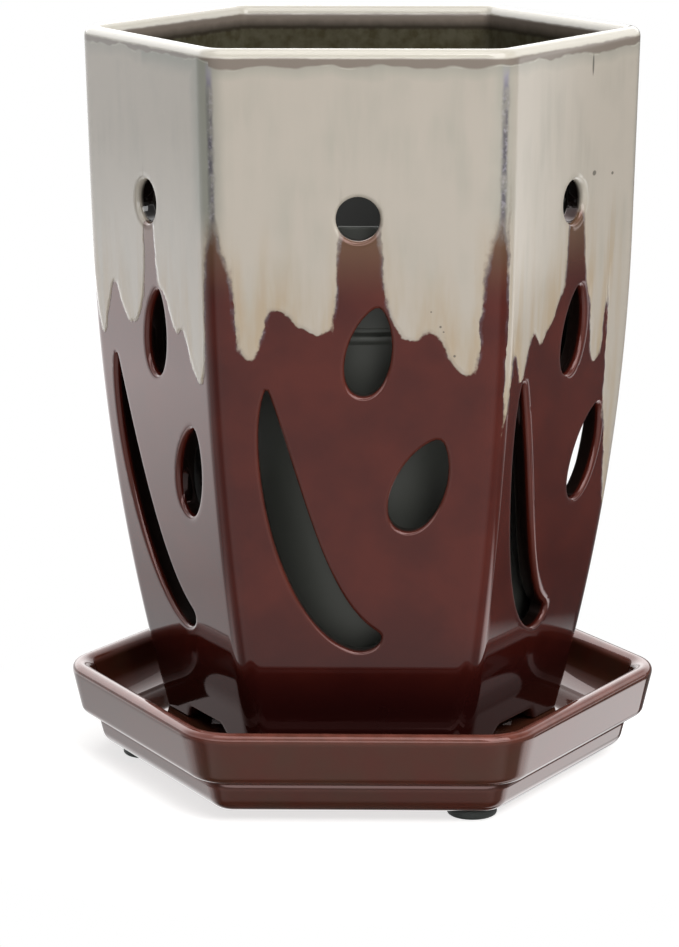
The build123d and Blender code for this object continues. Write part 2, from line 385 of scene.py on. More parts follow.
def quarter(steps):
    """Sine and cosine of the steps of a quarter turn, without its start."""
    return [(sin(pi / 2 * step / steps), cos(pi / 2 * step / steps)) for step in range(1, steps + 1)]


# Steps round the pot's drain hole, twice those of the nursery pot's small ones, and round the nursery pot
DRAIN_STEPS = 48
WALL_STEPS = 96
# Share of the way from a rounding's ends to its corner that the handles of its curve reach
HANDLE_SHARE = 0.55
# Flat left between the two roundings of the saucer's lip, twice that of the nursery pot's
LIP_FLAT = 0.1 * MM


def rounding(corner, back, on, size, steps):
    """Curve that rounds a corner off, from a length before it to the same length past it."""
    start, end = corner + back * size, corner + on * size
    handles = start.lerp(corner, HANDLE_SHARE), end.lerp(corner, HANDLE_SHARE)
    return interpolate_bezier(start, *handles, end, steps)


def soften(corners, rounds, steps):
    """A path through corners, each rounded by its own length."""
    corners = [Vector(corner) for corner in corners]
    path = [corners[0]]
    for before, corner, after, size in zip(corners, corners[1:], corners[2:], rounds):
        path += rounding(corner, (before - corner).normalized(), (after - corner).normalized(), size, steps)
    return path + [corners[-1]]


# Shares of a leaf's width and length: the handles of the curve from its blunt end to its tip
LEAF_HANDLE_SHARES = ((0.636, 0), (0.691, 0.728))
# Shares of the blade's width and height: its three long curves, end to end
BLADE_CURVE_SHARES = (
    ((0.074, 1), (-0.143, 0.814), (0.123, 0.064), (0.802, 0)),
    ((0.802, 0), (0.92, 0), (1.01, 0.03), (1, 0.069)),
    ((1, 0.069), (0.553, 0.176), (0.392, 0.577), (0.074, 1)),
)
# Steps of the cut-outs' curves, fine enough to look round close up
HOLE_STEPS = 40
LEAF_STEPS = 28
BLADE_STEPS = (72, 10, 64)
# Where the cut-outs stand on a face, across from its middle and up from the foot, and how far they tilt
HOLE_PLACE = (0.1 * MM, 109.7 * MM)
UPPER_LEAF_PLACE = (0.4 * MM, 75.2 * MM)
UPPER_LEAF_TILT = radians(12)
LOWER_LEAF_PLACE = (8.3 * MM, 48.2 * MM)
LOWER_LEAF_TILT = radians(22.4)
BLADE_PLACE = (-19.15 * MM, 22.65 * MM)


def leaf_outline(width, height, tilt):
    """Teardrop with its blunt end at the origin and its tip above, leaning right by the tilt."""
    handles = [Vector((across * width, up * height)) for across, up in LEAF_HANDLE_SHARES]
    side = interpolate_bezier(Vector((0, 0)), *handles, Vector((0, height)), LEAF_STEPS)
    outline = side + [Vector((-spot.x, spot.y)) for spot in side[-2:0:-1]]
    turn = Matrix.Rotation(-tilt, 2)
    return [turn @ spot for spot in outline]


def blade_outline(width, height):
    """Long curved cut-out with its low left corner at the origin."""
    outline = []
    for shares, steps in zip(BLADE_CURVE_SHARES, BLADE_STEPS):
        curve = [Vector((across * width, up * height)) for across, up in shares]
        outline += interpolate_bezier(*curve, steps)[:-1]
    return outline


def cut_outlines(form):
    """The four cut-outs of one face, as closed outlines across and up the face."""
    sizes = form.sizes
    turns = [2 * pi * step / HOLE_STEPS for step in range(HOLE_STEPS)]
    circle = [Vector((cos(turn), sin(turn))) * sizes.hole_radius for turn in turns]
    shapes = (
        (circle, HOLE_PLACE),
        (leaf_outline(sizes.leaf_width, sizes.leaf_length, UPPER_LEAF_TILT), UPPER_LEAF_PLACE),
        (leaf_outline(sizes.low_leaf_width, sizes.low_leaf_length, LOWER_LEAF_TILT), LOWER_LEAF_PLACE),
        (blade_outline(sizes.blade_width, sizes.blade_height), BLADE_PLACE),
    )
    return [[(spot.x + across, spot.y + form.base + up) for spot in shape] for shape, (across, up) in shapes]


def outward_of(spots):
    """Unit vectors that point away from the inside of a closed flat outline, one for each of its spots."""
    turned = sum(a.x * b.z - b.x * a.z for a, b in zip(spots, spots[1:] + spots[:1]))
    sign = 1 if turned > 0 else -1
    chords = [after - before for before, after in zip(spots[-1:] + spots[:-1], spots[1:] + spots[:1])]
    return [Vector((chord.z, 0, -chord.x)).normalized() * sign for chord in chords]


def pierce(bm, outline, sizes, thin):
    """Rings of one cut-out: the rounded rim, the way through the wall and the rounded rim inside.

    Returns the edges of its first ring, on the outside, and of its last, on the inside.
    """
    ring = wire(bm, [(across, 0, height) for across, height in outline], closed=True)
    for _ in range(3):
        bmesh.ops.smooth_vert(bm, verts=ring, factor=0.5, use_axis_x=True, use_axis_z=True)
    spots = [vert.co.copy() for vert in ring]
    outward = outward_of(spots)
    big, small = sizes.cut_round, sizes.inner_cut_round
    rows = [(big + GUARD, 0, 0), (big, 0, 0)]
    # Third number: paler thin glaze peaking on the rim, partly painted highlight; below zero, painted shade
    # inside.
    rows += [(big * (1 - s), big * (1 - c), 4 * s * s * c * c) for s, c in quarter(6)]
    rows += [(0, sizes.wall / 3, -0.7), (0, sizes.wall / 2, -1), (0, sizes.wall - small, -1)]
    rows += [(small * (1 - c), sizes.wall - small * (1 - s), -1) for s, c in quarter(3)]
    rows += [(small + GUARD, sizes.wall, -1)]
    first = ring
    for index, (offset, depth, glaze_and_light) in enumerate(rows):
        if index:
            ring = extrude_row(bm, ring, closed=True)
        for vert, spot, away in zip(ring, spots, outward):
            vert.co = spot + away * offset
            vert.co.y = depth
            vert[thin] = glaze_and_light
    return row_edges(bm, first), row_edges(bm, ring)


def foot_path(form):
    """Lower edge of one face from corner to corner, over its drain notch, and the way up from each spot."""
    sizes = form.sizes
    half_top, half_base = sizes.notch_top_width / 2, sizes.notch_base_width / 2
    side = form.side(form.base)
    corners = [(-side, 0), (-half_base, 0), (-half_top, sizes.notch_height)]
    corners += [(half_top, sizes.notch_height), (half_base, 0), (side, 0)]
    path = soften(corners, (sizes.cut_round,) * 4, 6)
    spots = [Vector((spot.x, 0, spot.y + form.base)) for spot in path]
    chords = [after - before for before, after in zip(spots, spots[2:])]
    upright = Vector((0, 0, 1))
    return spots, [upright] + [Vector((-chord.z, 0, chord.x)).normalized() for chord in chords] + [upright]


# Rounding where the pot's underside meets the foot ring, and how thin the glaze is on the ring's outer edge
HOLLOW_ROUND = 0.3 * MM
FOOT_THINNESS = 0.6
# A level edge nearer than this to a vertex goes through it, and a vertex nearer to a face's side stands on it
LEVEL_SNAP = 0.02 * MM
SIDE_SNAP = 0.01 * MM


def side_spots(form, low, high, levels, depth):
    """Spots up the right side of a face's sheet, at the levels between two heights."""
    heights = [low] + [level for level in levels if low + GUARD < level < high - GUARD] + [high]
    return [Vector((form.side(height), depth, height)) for height in heights]


def side_rows(bm, spots):
    """Vertices up the right side of a sheet, and the same down its left side."""
    left = [(-spot.x, spot.y, spot.z) for spot in reversed(spots)]
    return [bm.verts.new(spot) for spot in spots], [bm.verts.new(spot) for spot in left]


def lay_across(form, row, signs, depth, height):
    """Lays a row's two ends on the sides of a face, at a depth in the wall and a height."""
    for vert, sign in zip(row, signs):
        vert.co = (sign * form.side(height), depth, height)


def fill_sheet(bm, border, rings, normal):
    """Fills one flat sheet of a face between its border and the edges of its cut-outs."""
    for pair in zip(border, border[1:] + border[:1]):
        if not bm.edges.get(pair):
            bm.edges.new(pair)
    edges = row_edges(bm, border) + [edge for ring in rings for edge in ring]
    bmesh.ops.triangle_fill(bm, use_beauty=True, use_dissolve=False, edges=edges, normal=normal)


def build_foot_edge(form, bm, thin):
    """A face's foot, from the outer sheet round its edge and in under the ring to its hollow.

    Returns the row of vertices that the outer sheet starts from.
    """
    sizes = form.sizes
    spots, up = foot_path(form)
    edge_round, ring_width = sizes.inner_cut_round, sizes.foot_ring_width
    rows = [(edge_round + GUARD, 0), (edge_round, 0)]
    rows += [(edge_round * (1 - s), edge_round * (1 - c)) for s, c in quarter(4)]
    rows += [(0, ring_width)]
    row = first = wire(bm, spots, closed=False)
    for index, (offset, depth) in enumerate(rows):
        if index:
            row = extrude_row(bm, row, closed=False)
        for vert, spot, away in zip(row, spots, up):
            vert.co = spot + away * offset
            vert.co.y = depth
            vert[thin] = FOOT_THINNESS if 0 < depth < sizes.cut_round else 0
        for end, sign in ((row[0], -1), (row[-1], 1)):
            end.co.x = sign * form.side(end.co.z)
    rows = [(ring_width, form.under_floor - HOLLOW_ROUND)]
    hollow_reach, hollow_height = ring_width + HOLLOW_ROUND, form.under_floor - HOLLOW_ROUND
    rows += [(hollow_reach - HOLLOW_ROUND * c, hollow_height + HOLLOW_ROUND * s) for s, c in quarter(2)]
    for depth, height in rows:
        row = extrude_row(bm, row, closed=False)
        for vert in row:
            vert.co.y, vert.co.z = depth, height
        for end, sign in ((row[0], -1), (row[-1], 1)):
            end.co.x = sign * form.side(height)
    return first


def build_lip(form, bm, thin):
    """A face's lip, a full round from the outer sheet over to the inner one.

    Returns its first row of vertices and its last one.
    """
    wall = form.sizes.wall
    lip = wall / 2
    base = form.rim - lip
    rows = [(0, base, 0)]
    # The lip's share rises to its top: paler thin glaze there, partly painted highlight.
    rows += [(lip * (1 - c), base + lip * s, s) for s, c in quarter(8)]
    rows += [(lip * (1 + s), base + lip * c, c) for s, c in quarter(8)]
    rows += [(wall, base - GUARD, 0)]
    top = form.side(base - GUARD)
    row = first = wire(bm, [(top, 0, base - GUARD), (-top, 0, base - GUARD)], closed=False)
    for depth, height, glaze_and_light in rows:
        row = extrude_row(bm, row, closed=False)
        lay_across(form, row, (1, -1), depth, height)
        for vert in row:
            vert[thin] = glaze_and_light
    return first, row


def add_corner_columns(form, bm):
    """Carries both sides of a face's sheets on to the middles of its corners."""
    for sign in (-1, 1):
        edges = [edge for edge in bm.edges if edge.is_boundary]
        edges = [edge for edge in edges if all(on_side(form, vert, sign) for vert in edge.verts)]
        for step in range(STEPS_PER_HALF_CORNER + 1):
            made = bmesh.ops.extrude_edge_only(bm, edges=edges)["geom"]
            fresh = {item for item in made if isinstance(item, bmesh.types.BMVert)}
            shift = form.sizes.corner_radius * CORNER_STEP if step else GUARD
            bmesh.ops.translate(bm, verts=list(fresh), vec=(sign * shift, 0, 0))
            edges = [edge for vert in fresh for edge in vert.link_edges if edge.is_boundary]
            edges = [edge for edge in set(edges) if all(vert in fresh for vert in edge.verts)]


def build_face(form, bm, thin):
    """One face of the pot, laid out flat: across, depth in the wall and height, with its corner columns."""
    sizes = form.sizes
    cuts = [pierce(bm, outline, sizes, thin) for outline in cut_outlines(form)]
    levels = [form.base + (form.rim - form.base) * step / LEVELS for step in range(1, LEVELS)]
    low_row = build_foot_edge(form, bm, thin)
    high_row, inner_high_row = build_lip(form, bm, thin)

    spots = side_spots(form, low_row[-1].co.z, high_row[0].co.z, levels, 0)[1:-1]
    right_row, left_row = side_rows(bm, spots)
    fill_sheet(bm, low_row + right_row + high_row + left_row, [first for first, _ in cuts], (0, -1, 0))

    floor_round = sizes.floor_round
    inner_low = form.floor + floor_round + GUARD
    spots = side_spots(form, inner_low, inner_high_row[0].co.z, levels, sizes.wall)[:-1]
    right_row, left_row = side_rows(bm, spots)
    fill_sheet(bm, right_row + inner_high_row + left_row, [last for _, last in cuts], (0, 1, 0))
    row = [left_row[-1], right_row[0]]
    rows = [(sizes.wall, form.floor + floor_round)]
    rows += [
        (sizes.wall + floor_round * (1 - c), form.floor + floor_round * (1 - s)) for s, c in quarter(4)
    ]
    for depth, height in rows:
        row = extrude_row(bm, row, closed=False)
        lay_across(form, row, (-1, 1), depth, height)

    for level in levels:
        whole = bm.verts[:] + bm.edges[:] + bm.faces[:]
        bmesh.ops.bisect_plane(bm, geom=whole, dist=LEVEL_SNAP, plane_co=(0, 0, level), plane_no=(0, 0, 1))
    add_corner_columns(form, bm)


def on_side(form, vert, sign):
    """Whether a vertex stands on the right or left side of a face's sheets."""
    return abs(sign * vert.co.x - form.side(vert.co.z)) < SIDE_SNAP


# Vertices nearer than this to each other meet at a seam between two faces
SEAM_SNAP = 0.001 * MM
# Width of the glaze map's column for one face, a little more than the widest face with its corners
FACE_COLUMN = 60 * MM


def build_pot(sizes):
    """Mesh of the slotted pot with its glaze map, made from one face laid flat, bent and turned six times."""
    form = PotForm(sizes)
    bm = bmesh.new()
    # Thin glaze on edges, partly painted highlight; below zero, the painted shade of the cut-outs' walls.
    thin = bm.verts.layers.float.new("thin_glaze_and_painted_light")
    inside = bm.verts.layers.float.new("inside")
    corner = bm.verts.layers.float.new("corner_gap")
    glaze_map = bm.loops.layers.uv.new("glaze_map")
    build_face(form, bm, thin)
    for vert in bm.verts:
        vert[inside] = min(max(1 - (sizes.wall - vert.co.y) / sizes.inner_cut_round, 0), 1)
        vert[corner] = form.corner_gap(vert.co.x, vert.co.z)
    for face in bm.faces:
        for loop in face.loops:
            spot = loop.vert.co
            loop[glaze_map].uv = (spot.x / FACE_COLUMN + 0.5, spot.z / form.rim)
    for vert in bm.verts:
        vert.co = form.bend(vert.co)
    first_face = bm.verts[:] + bm.edges[:] + bm.faces[:]
    for number in range(1, FACES):
        copy = bmesh.ops.duplicate(bm, geom=first_face)["geom"]
        verts = [item for item in copy if isinstance(item, bmesh.types.BMVert)]
        turn = Matrix.Rotation(2 * HALF_FACE_TURN * number, 3, "Z")
        bmesh.ops.rotate(bm, verts=verts, cent=(0, 0, 0), matrix=turn)
        for face in (item for item in copy if isinstance(item, bmesh.types.BMFace)):
            for loop in face.loops:
                loop[glaze_map].uv.x += number
    bmesh.ops.remove_doubles(bm, verts=bm.verts, dist=SEAM_SNAP)
    close_floor(bm, form)
    bmesh.ops.recalc_face_normals(bm, faces=bm.faces)
    return bm


def close_floor(bm, form):
    """The pot's floor with its round drain hole, between the foot ring's hollow and the inside."""
    sizes = form.sizes
    edge_round = sizes.inner_cut_round
    rows = [(GUARD + edge_round, form.floor), (edge_round, form.floor)]
    rows += [(edge_round * (1 - s), form.floor - edge_round * (1 - c)) for s, c in quarter(3)]
    lower = [(0, 1)] + quarter(3)
    rows += [(edge_round * (1 - c), form.under_floor + edge_round * (1 - s)) for s, c in lower]
    rows += [(GUARD + edge_round, form.under_floor)]
    close_base(bm, form.under_floor + edge_round, [(0, 0)], sizes.drain_radius, rows, DRAIN_STEPS)


def close_base(bm, split, centres, radius, rows, segments):
    """Closes a pot's base above and below, round its drain holes.

    The open edges over the height of the split are those of its upper side.
    """
    open_edges = [edge for edge in bm.edges if edge.is_boundary]
    upper = [edge for edge in open_edges if edge.verts[0].co.z > split]
    lower = [edge for edge in open_edges if edge.verts[0].co.z <= split]
    for centre in centres:
        first, last = drill(bm, centre, radius, rows, segments)
        upper, lower = upper + first, lower + last
    bmesh.ops.triangle_fill(bm, use_beauty=True, edges=upper, normal=(0, 0, 1))
    bmesh.ops.triangle_fill(bm, use_beauty=True, edges=lower, normal=(0, 0, -1))


def drill(bm, centre, radius, rows, segments):
    """Rings of a round hole, each row giving how far it stands outside the radius, and its height.

    Returns the edges of its first ring and of its last.
    """
    turns = [2 * pi * step / segments for step in range(segments)]
    around = [Vector((cos(turn), sin(turn), 0)) for turn in turns]
    ring = first = wire(bm, around, closed=True)
    for index, (offset, height) in enumerate(rows):
        if index:
            ring = extrude_row(bm, ring, closed=True)
        for vert, spot in zip(ring, around):
            vert.co = spot * (radius + offset) + Vector((*centre, height))
    return row_edges(bm, first), row_edges(bm, ring)


def finish_piece(bm, name, body, slot, material, *nodes):
    """Turns a bmesh into a smooth object that rides on a body and stands for CAD nodes."""
    mesh = bpy.data.meshes.new(name)
    bm.to_mesh(mesh)
    bm.free()
    mesh.shade_smooth()
    mesh.materials.append(material)
    piece = bpy.data.objects.new(name, mesh)
    bpy.context.scene.collection.objects.link(piece)
    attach(piece, body)
    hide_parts(*nodes)
    return piece


def guarded(corners, rounds):
    """A path through corners rounded by their own lengths, with a spot kept flat beside each rounding."""
    corners = [Vector(corner) for corner in corners]
    sizes = (0, *rounds, 0)
    legs = [(end - start).length for start, end in zip(corners, corners[1:])]
    spare = [leg - before - after for leg, before, after in zip(legs, sizes, sizes[1:])]
    guards = [min(GUARD / 2, free / 3) for free in spare]
    path = [corners[0]]
    for index, size in enumerate(rounds):
        before, corner, after = corners[index : index + 3]
        back, on = (before - corner).normalized(), (after - corner).normalized()
        path.append(corner + back * (size + guards[index]))
        path += rounding(corner, back, on, size, 8)
        path.append(corner + on * (size + guards[index + 1]))
    return path + [corners[-1]]


def hexagon_spots(reach, corner_radius):
    """Spots round a hexagon with rounded corners, with a guard spot on each side of a corner."""
    spots = []
    for number in range(FACES):
        middle = 2 * HALF_FACE_TURN * number
        centre = Vector((cos(middle), sin(middle))) * (reach - corner_radius) / cos(HALF_FACE_TURN)
        steps = 2 * STEPS_PER_HALF_CORNER
        turns = [middle + HALF_FACE_TURN * (2 * step / steps - 1) for step in range(steps + 1)]
        arc = [centre + Vector((cos(turn), sin(turn))) * corner_radius for turn in turns]
        start, end = turns[0] - pi / 2, turns[-1] + pi / 2
        spots.append(arc[0] + Vector((cos(start), sin(start))) * GUARD)
        spots += arc
        spots.append(arc[-1] + Vector((cos(end), sin(end))) * GUARD)
    return spots


def build_saucer(sizes):
    """Mesh of the saucer: hexagons with rounded corners, from its recess over the lip to its floor."""
    bm = bmesh.new()
    thin = bm.verts.layers.float.new("thin_glaze_and_painted_light")
    base, lip = SAUCER_LOW[2], SAUCER_HIGH[2]
    lip_reach = sizes.lip_reach
    edge_reach = lip_reach - sizes.wall_lean
    shoulder = base + sizes.shoulder_height
    floor = base + sizes.floor_height
    band_reach = edge_reach - sizes.shoulder_step
    base_reach = band_reach - sizes.band_lean
    recess_reach = base_reach - sizes.recess_inset
    slope = sizes.wall_lean / (lip - shoulder)
    floor_reach = edge_reach + (floor - shoulder) * slope - sizes.wall
    corners = (
        (recess_reach - 2 * GUARD, base + sizes.recess_depth),
        (recess_reach, base + sizes.recess_depth),
        (recess_reach, base),
        (base_reach, base),
        (band_reach, base + sizes.band_height),
        (band_reach - sizes.ledge_lean, base + sizes.band_height + sizes.ledge_height),
        (edge_reach, shoulder),
        (lip_reach, lip),
        (lip_reach - sizes.wall, lip),
        (floor_reach, floor),
        (floor_reach - sizes.cove - 5 * GUARD, floor),
    )
    soft, lip_round = sizes.edge_round, sizes.wall / 2 - LIP_FLAT
    rounds = (soft / 2, soft / 2, 3 * soft, soft / 3, soft / 3)
    rounds += (sizes.shoulder_round, lip_round, lip_round, sizes.cove)
    ring = None
    for reach, height in guarded(corners, rounds):
        corner_radius = max(sizes.corner_radius - lip_reach + reach, GUARD)
        spots = [(*spot, height) for spot in hexagon_spots(reach, corner_radius)]
        if ring is None:
            ring = wire(bm, spots, closed=True)
            bm.faces.new(ring)
            continue
        ring = extrude_row(bm, ring, closed=True)
        at_lip = max(0, 1 - (lip - height) / lip_round)
        at_band = at_base = 0
        if reach > band_reach - soft:
            at_band = max(0, 1 - abs(height - base - sizes.band_height) / soft)
        if reach > base_reach - soft:
            at_base = max(0, 1 - (height - base) / soft)
        for vert, spot in zip(ring, spots):
            vert.co = spot
            # The band's upper edge gets copper partly as painted highlight; the lip's is thin glaze.
            vert[thin] = max(at_lip, 0.3 * at_band, 0.2 * at_base)
    bm.faces.new(ring)
    bmesh.ops.recalc_face_normals(bm, faces=bm.faces)
    return bm


def build_nursery_pot(sizes):
    """Mesh of the nursery pot: its wall spun round the axis, and its base with drain holes."""
    bm = bmesh.new()
    inside = bm.verts.layers.float.new("inside")
    base, rim, mouth = NURSERY_LOW[2], NURSERY_HIGH[2], NURSERY_HIGH[0]
    wall = sizes.wall
    groove = mouth - sizes.step
    collar = rim - sizes.collar_height
    bead_top = collar - sizes.groove_height
    bead = bead_top - sizes.bead_height
    bead_slope = (sizes.bead_height - sizes.groove_height) / 2
    inner_base = base + sizes.floor
    corners = (
        (sizes.base_radius - 3 * GUARD, base),
        (sizes.base_radius, base),
        (sizes.heel_radius, base + sizes.heel_height),
        (groove, bead),
        (groove + sizes.bead_depth, bead + bead_slope),
        (groove + sizes.bead_depth, bead_top - bead_slope),
        (groove, bead_top),
        (groove, collar),
        (mouth - sizes.collar_taper, collar),
        (mouth, rim),
        (mouth - wall, rim),
        (mouth - sizes.collar_taper - wall, collar + wall),
        (groove - wall, collar + wall),
        (groove - wall, bead),
        (sizes.heel_radius - wall, inner_base + sizes.heel_height - wall / 2),
        (sizes.base_radius - wall, inner_base),
        (sizes.base_radius - wall - 3 * GUARD, inner_base),
    )
    fine, lip_round = sizes.fine_round, wall / 2 - LIP_FLAT / 2
    rounds = (wall / 2, wall, fine, fine, fine, fine / 2, fine / 2, fine)
    rounds += (lip_round, lip_round, fine, fine, fine, wall, wall / 2)
    path = soften(corners, rounds, 5)
    row = wire(bm, [(spot.x, 0, spot.y) for spot in path], closed=False)
    lip = max(range(len(path)), key=lambda place: path[place].y)
    # Marks the inside, which the plastic material darkens as painted shade.
    for vert in row[lip:]:
        vert[inside] = 1.0
    profile = bm.verts[:] + bm.edges[:]
    bmesh.ops.spin(
        bm, geom=profile, cent=(0, 0, 0), axis=(0, 0, 1), angle=2 * pi, steps=WALL_STEPS, use_merge=True
    )
    turns = [2 * HALF_FACE_TURN * number for number in range(FACES)]
    centres = [(sizes.drain_circle * cos(turn), sizes.drain_circle * sin(turn)) for turn in turns]
    close_base(bm, base + fine, centres, sizes.drain_radius, ((0, inner_base), (0, base)), DRAIN_STEPS // 2)
    bmesh.ops.recalc_face_normals(bm, faces=bm.faces)
    return bm


# Worn round of a rubber foot's lower edge
FOOT_WEAR = 0.6 * MM
FOOT_STEPS = 48


def build_foot(node):
    """Mesh of one rubber foot: a low round pad with a worn edge."""
    low, high = [Vector(corner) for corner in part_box(node)]
    middle, radius = (low + high) / 2, (high.x - low.x) / 2
    bm = bmesh.new()
    bmesh.ops.create_cone(
        bm, cap_ends=True, segments=FOOT_STEPS, radius1=radius, radius2=radius, depth=high.z - low.z,
        matrix=Matrix.Translation(middle),
    )
    edge = [edge for edge in bm.edges if max(vert.co.z for vert in edge.verts) < low.z + FOOT_WEAR]
    bmesh.ops.bevel(
        bm, geom=edge, offset=FOOT_WEAR, offset_type="OFFSET", affect="EDGES", segments=4, profile=0.5,
        material=-1,
    )
    return bm


MATH = "ShaderNodeMath"
VECTOR = "ShaderNodeVectorMath"
RANGE = "ShaderNodeMapRange"
NOISE = "ShaderNodeTexNoise"
MIX = "ShaderNodeMix"
BUMP = "ShaderNodeBump"
ATTRIBUTE = "ShaderNodeAttribute"
COORDINATES = "ShaderNodeTexCoord"
SHADER = "ShaderNodeBsdfPrincipled"
OUTPUT = "ShaderNodeOutputMaterial"
SMOOTH = {"interpolation_type": "SMOOTHSTEP"}
WHITE = (1.0, 1.0, 1.0)


def add_node(tree, kind, sockets=None, **settings):
    """Adds one node with its settings, and gives its sockets their values or links."""
    node = tree.nodes.new(kind)
    for name, value in settings.items():
        setattr(node, name, value)
    for key, value in (sockets or {}).items():
        usable = [socket for socket in node.inputs if socket.enabled]
        socket = usable[key] if isinstance(key, int) else next(s for s in usable if s.name == key)
        if isinstance(value, bpy.types.Node):
            value = next(output for output in value.outputs if output.enabled)
        if isinstance(value, bpy.types.NodeSocket):
            tree.links.new(value, socket)
        else:
            socket.default_value = (*value, 1.0) if socket.type == "RGBA" else value
    return node


def new_material(name):
    """An empty node material, and the add_node function of its tree."""
    material = bpy.data.materials.new(name)
    material.use_nodes = True
    material.node_tree.nodes.clear()
    return material, partial(add_node, material.node_tree)


def plastic_material(colours):
    """Matt black polypropylene: soft wide highlights, a faint moulded grain, and painted shade inside."""
    material, add = new_material("matt_black_polypropylene")
    place = add(COORDINATES).outputs["Object"]
    # Painted shade inside the nursery pot.
    inside = add(ATTRIBUTE, attribute_name="inside").outputs["Fac"]
    tone = add(
        MIX, {"Factor": inside, "A": colours.plastic, "B": colours.plastic_inside_shade}, data_type="RGBA"
    )
    grain = add(NOISE, {"Vector": place, "Scale": 1 / (0.4 * MM), "Detail": 2.0})
    bump = add(BUMP, {"Strength": 0.08, "Distance": 0.1 * MM, "Height": grain})
    shader = add(SHADER, {"Base Color": tone, "Roughness": 0.55, "IOR": 1.49, "Normal": bump})
    add(OUTPUT, {"Surface": shader})
    return material


def rubber_material(colours):
    """Dull dark rubber, with almost no shine."""
    material, add = new_material("dull_dark_rubber")
    shader = add(SHADER, {"Base Color": colours.rubber, "Roughness": 0.7, "IOR": 1.52})
    add(OUTPUT, {"Surface": shader})
    return material


# Where the cream glaze ends on a face: distances across it from its middle, and heights, in millimetres
FRONT_EDGE = (
    (-27.7, 121.5), (-26.3, 116.0), (-25.1, 111.5), (-23.6, 105.8), (-23.0, 96.5), (-20.6, 93.0),
    (-18.3, 96.5), (-17.1, 101.6), (-13.4, 102.2), (-11.5, 99.8), (-6.7, 98.3), (-4.6, 100.6),
    (-3.9, 106.0), (-3.5, 115.5), (-2.4, 119.5), (3.0, 119.5), (4.4, 116.8), (5.1, 105.6), (7.6, 98.7),
    (10.0, 96.7), (14.1, 98.4), (16.2, 96.5), (17.9, 92.7), (20.8, 90.5), (22.8, 92.2), (23.4, 100.7),
    (24.5, 110.7), (26.2, 118.0), (27.7, 121.5),
)
RIGHT_EDGE = (
    (-27.7, 121.5), (-26.6, 116.7), (-25.6, 108.1), (-25.4, 95.0), (-24.8, 80.5), (-23.6, 84.0),
    (-22.4, 93.0), (-19.1, 87.5), (-15.3, 95.7), (-11.4, 93.9), (-8.9, 96.5), (-4.8, 101.4),
    (-2.6, 106.0), (-1.9, 116.0), (-0.8, 119.5), (3.4, 119.5), (4.6, 114.9), (6.4, 104.0), (8.6, 98.8),
    (9.6, 90.5), (11.4, 86.8), (13.4, 87.3), (14.6, 89.6), (15.4, 98.0), (16.4, 97.0), (17.2, 78.0),
    (19.5, 70.0), (22.0, 58.0), (23.4, 54.4), (24.6, 54.6), (26.0, 62.0), (27.7, 80.0),
)
LEFT_EDGE = (
    (-27.7, 112.0), (-25.5, 99.0), (-22.3, 91.0), (-19.2, 96.0), (-15.8, 102.0), (-12.0, 97.0),
    (-8.2, 94.8), (-4.0, 98.0), (-1.6, 104.0), (-0.8, 119.5), (3.0, 119.5), (4.0, 106.0), (7.8, 101.9),
    (11.5, 96.1), (14.8, 96.6), (17.5, 90.6), (21.3, 87.5), (23.6, 91.6), (24.6, 103.0), (26.0, 114.0),
    (27.7, 121.5),
)
# Flaws in the cream: number of the face, millimetres across it and up, width and height
FLAWS = (
    (0, 15.8, 99.7, 0.5, 0.5),
    (0, 18.5, 94.0, 0.55, 0.55),
    (0, 16.4, 98.7, 0.4, 0.35),
    (0, 14.0, 102.6, 0.35, 0.35),
    (1, 8.1, 125.1, 1.7, 1.1),
    (1, 16.0, 124.2, 1.1, 0.7),
    (1, 6.1, 146.6, 0.8, 4.4),
)
# Faintly reddish shine that the iron in the brown glaze gives
IRON_SHEEN = (1.0, 0.7, 0.68)
# The edge curves hold heights as shares of this span, from this middle
EDGE_MIDDLE = 105.0
EDGE_SPAN = 60.0
# How far to each side of a spot the edge's slope is taken, and how far its ripple moves the edge
EDGE_BESIDE = 0.9
EDGE_RIPPLE_ACROSS = 1.6
EDGE_RIPPLE_UP = 3.0
# Heights on the pot between which a glaze changes, and then distances from the edge of the cream, from a
# corner or from the taupe band between which one does, all in millimetres
SPANS = {
    name: {"From Min": start, "From Max": end}
    for name, start, end in (
        ("olive_climb", 103.0, 120.0),
        ("foot_shade", 42.0, 20.0),
        ("thick_cream", 122.0, 104.0),
        ("soft_edge", 104.0, 121.0),
        ("corner_line", 115.0, 122.0),
        ("pale_corner", 143.0, 148.0),
        ("pale_lip", 150.9, 151.4),
        ("inside_shade_depth", 140.0, 126.0),
        ("inside_shadow_line", 147.7, 148.1),
        ("inside_band", 148.4, 150.2),
        ("near_edge", 13.0, 1.5),
        ("fringe_low", -1.2, -0.2),
        ("fringe_high", 0.5, 0.0),
        ("fringe_side", 0.3, 2.5),
        ("raised_edge", -0.3, 0.9),
        ("strip_width", 8.0, 2.5),
        ("haze_width", 3.2, 0.8),
        ("line_width", 1.1, 0.25),
        ("band_shade", -2.6, -0.2),
        ("band_edge", -0.2, 0.25),
        ("thread_width", 0.22, 0.08),
    )
}
# Height of the taupe band's lower edge, how far it waves, how much higher it is on the left face, and how
# far below the band's edge its pale thread runs
BAND_HEIGHT = 147.4
BAND_WAVE = 3.6
BAND_LEFT_RISE = 0.8
THREAD_DROP = 0.2
# Numbers of the faces, from the front one round to the right, as the glaze map counts them
LEFT_FACE = 5.0
REAR_FACE = 3.0


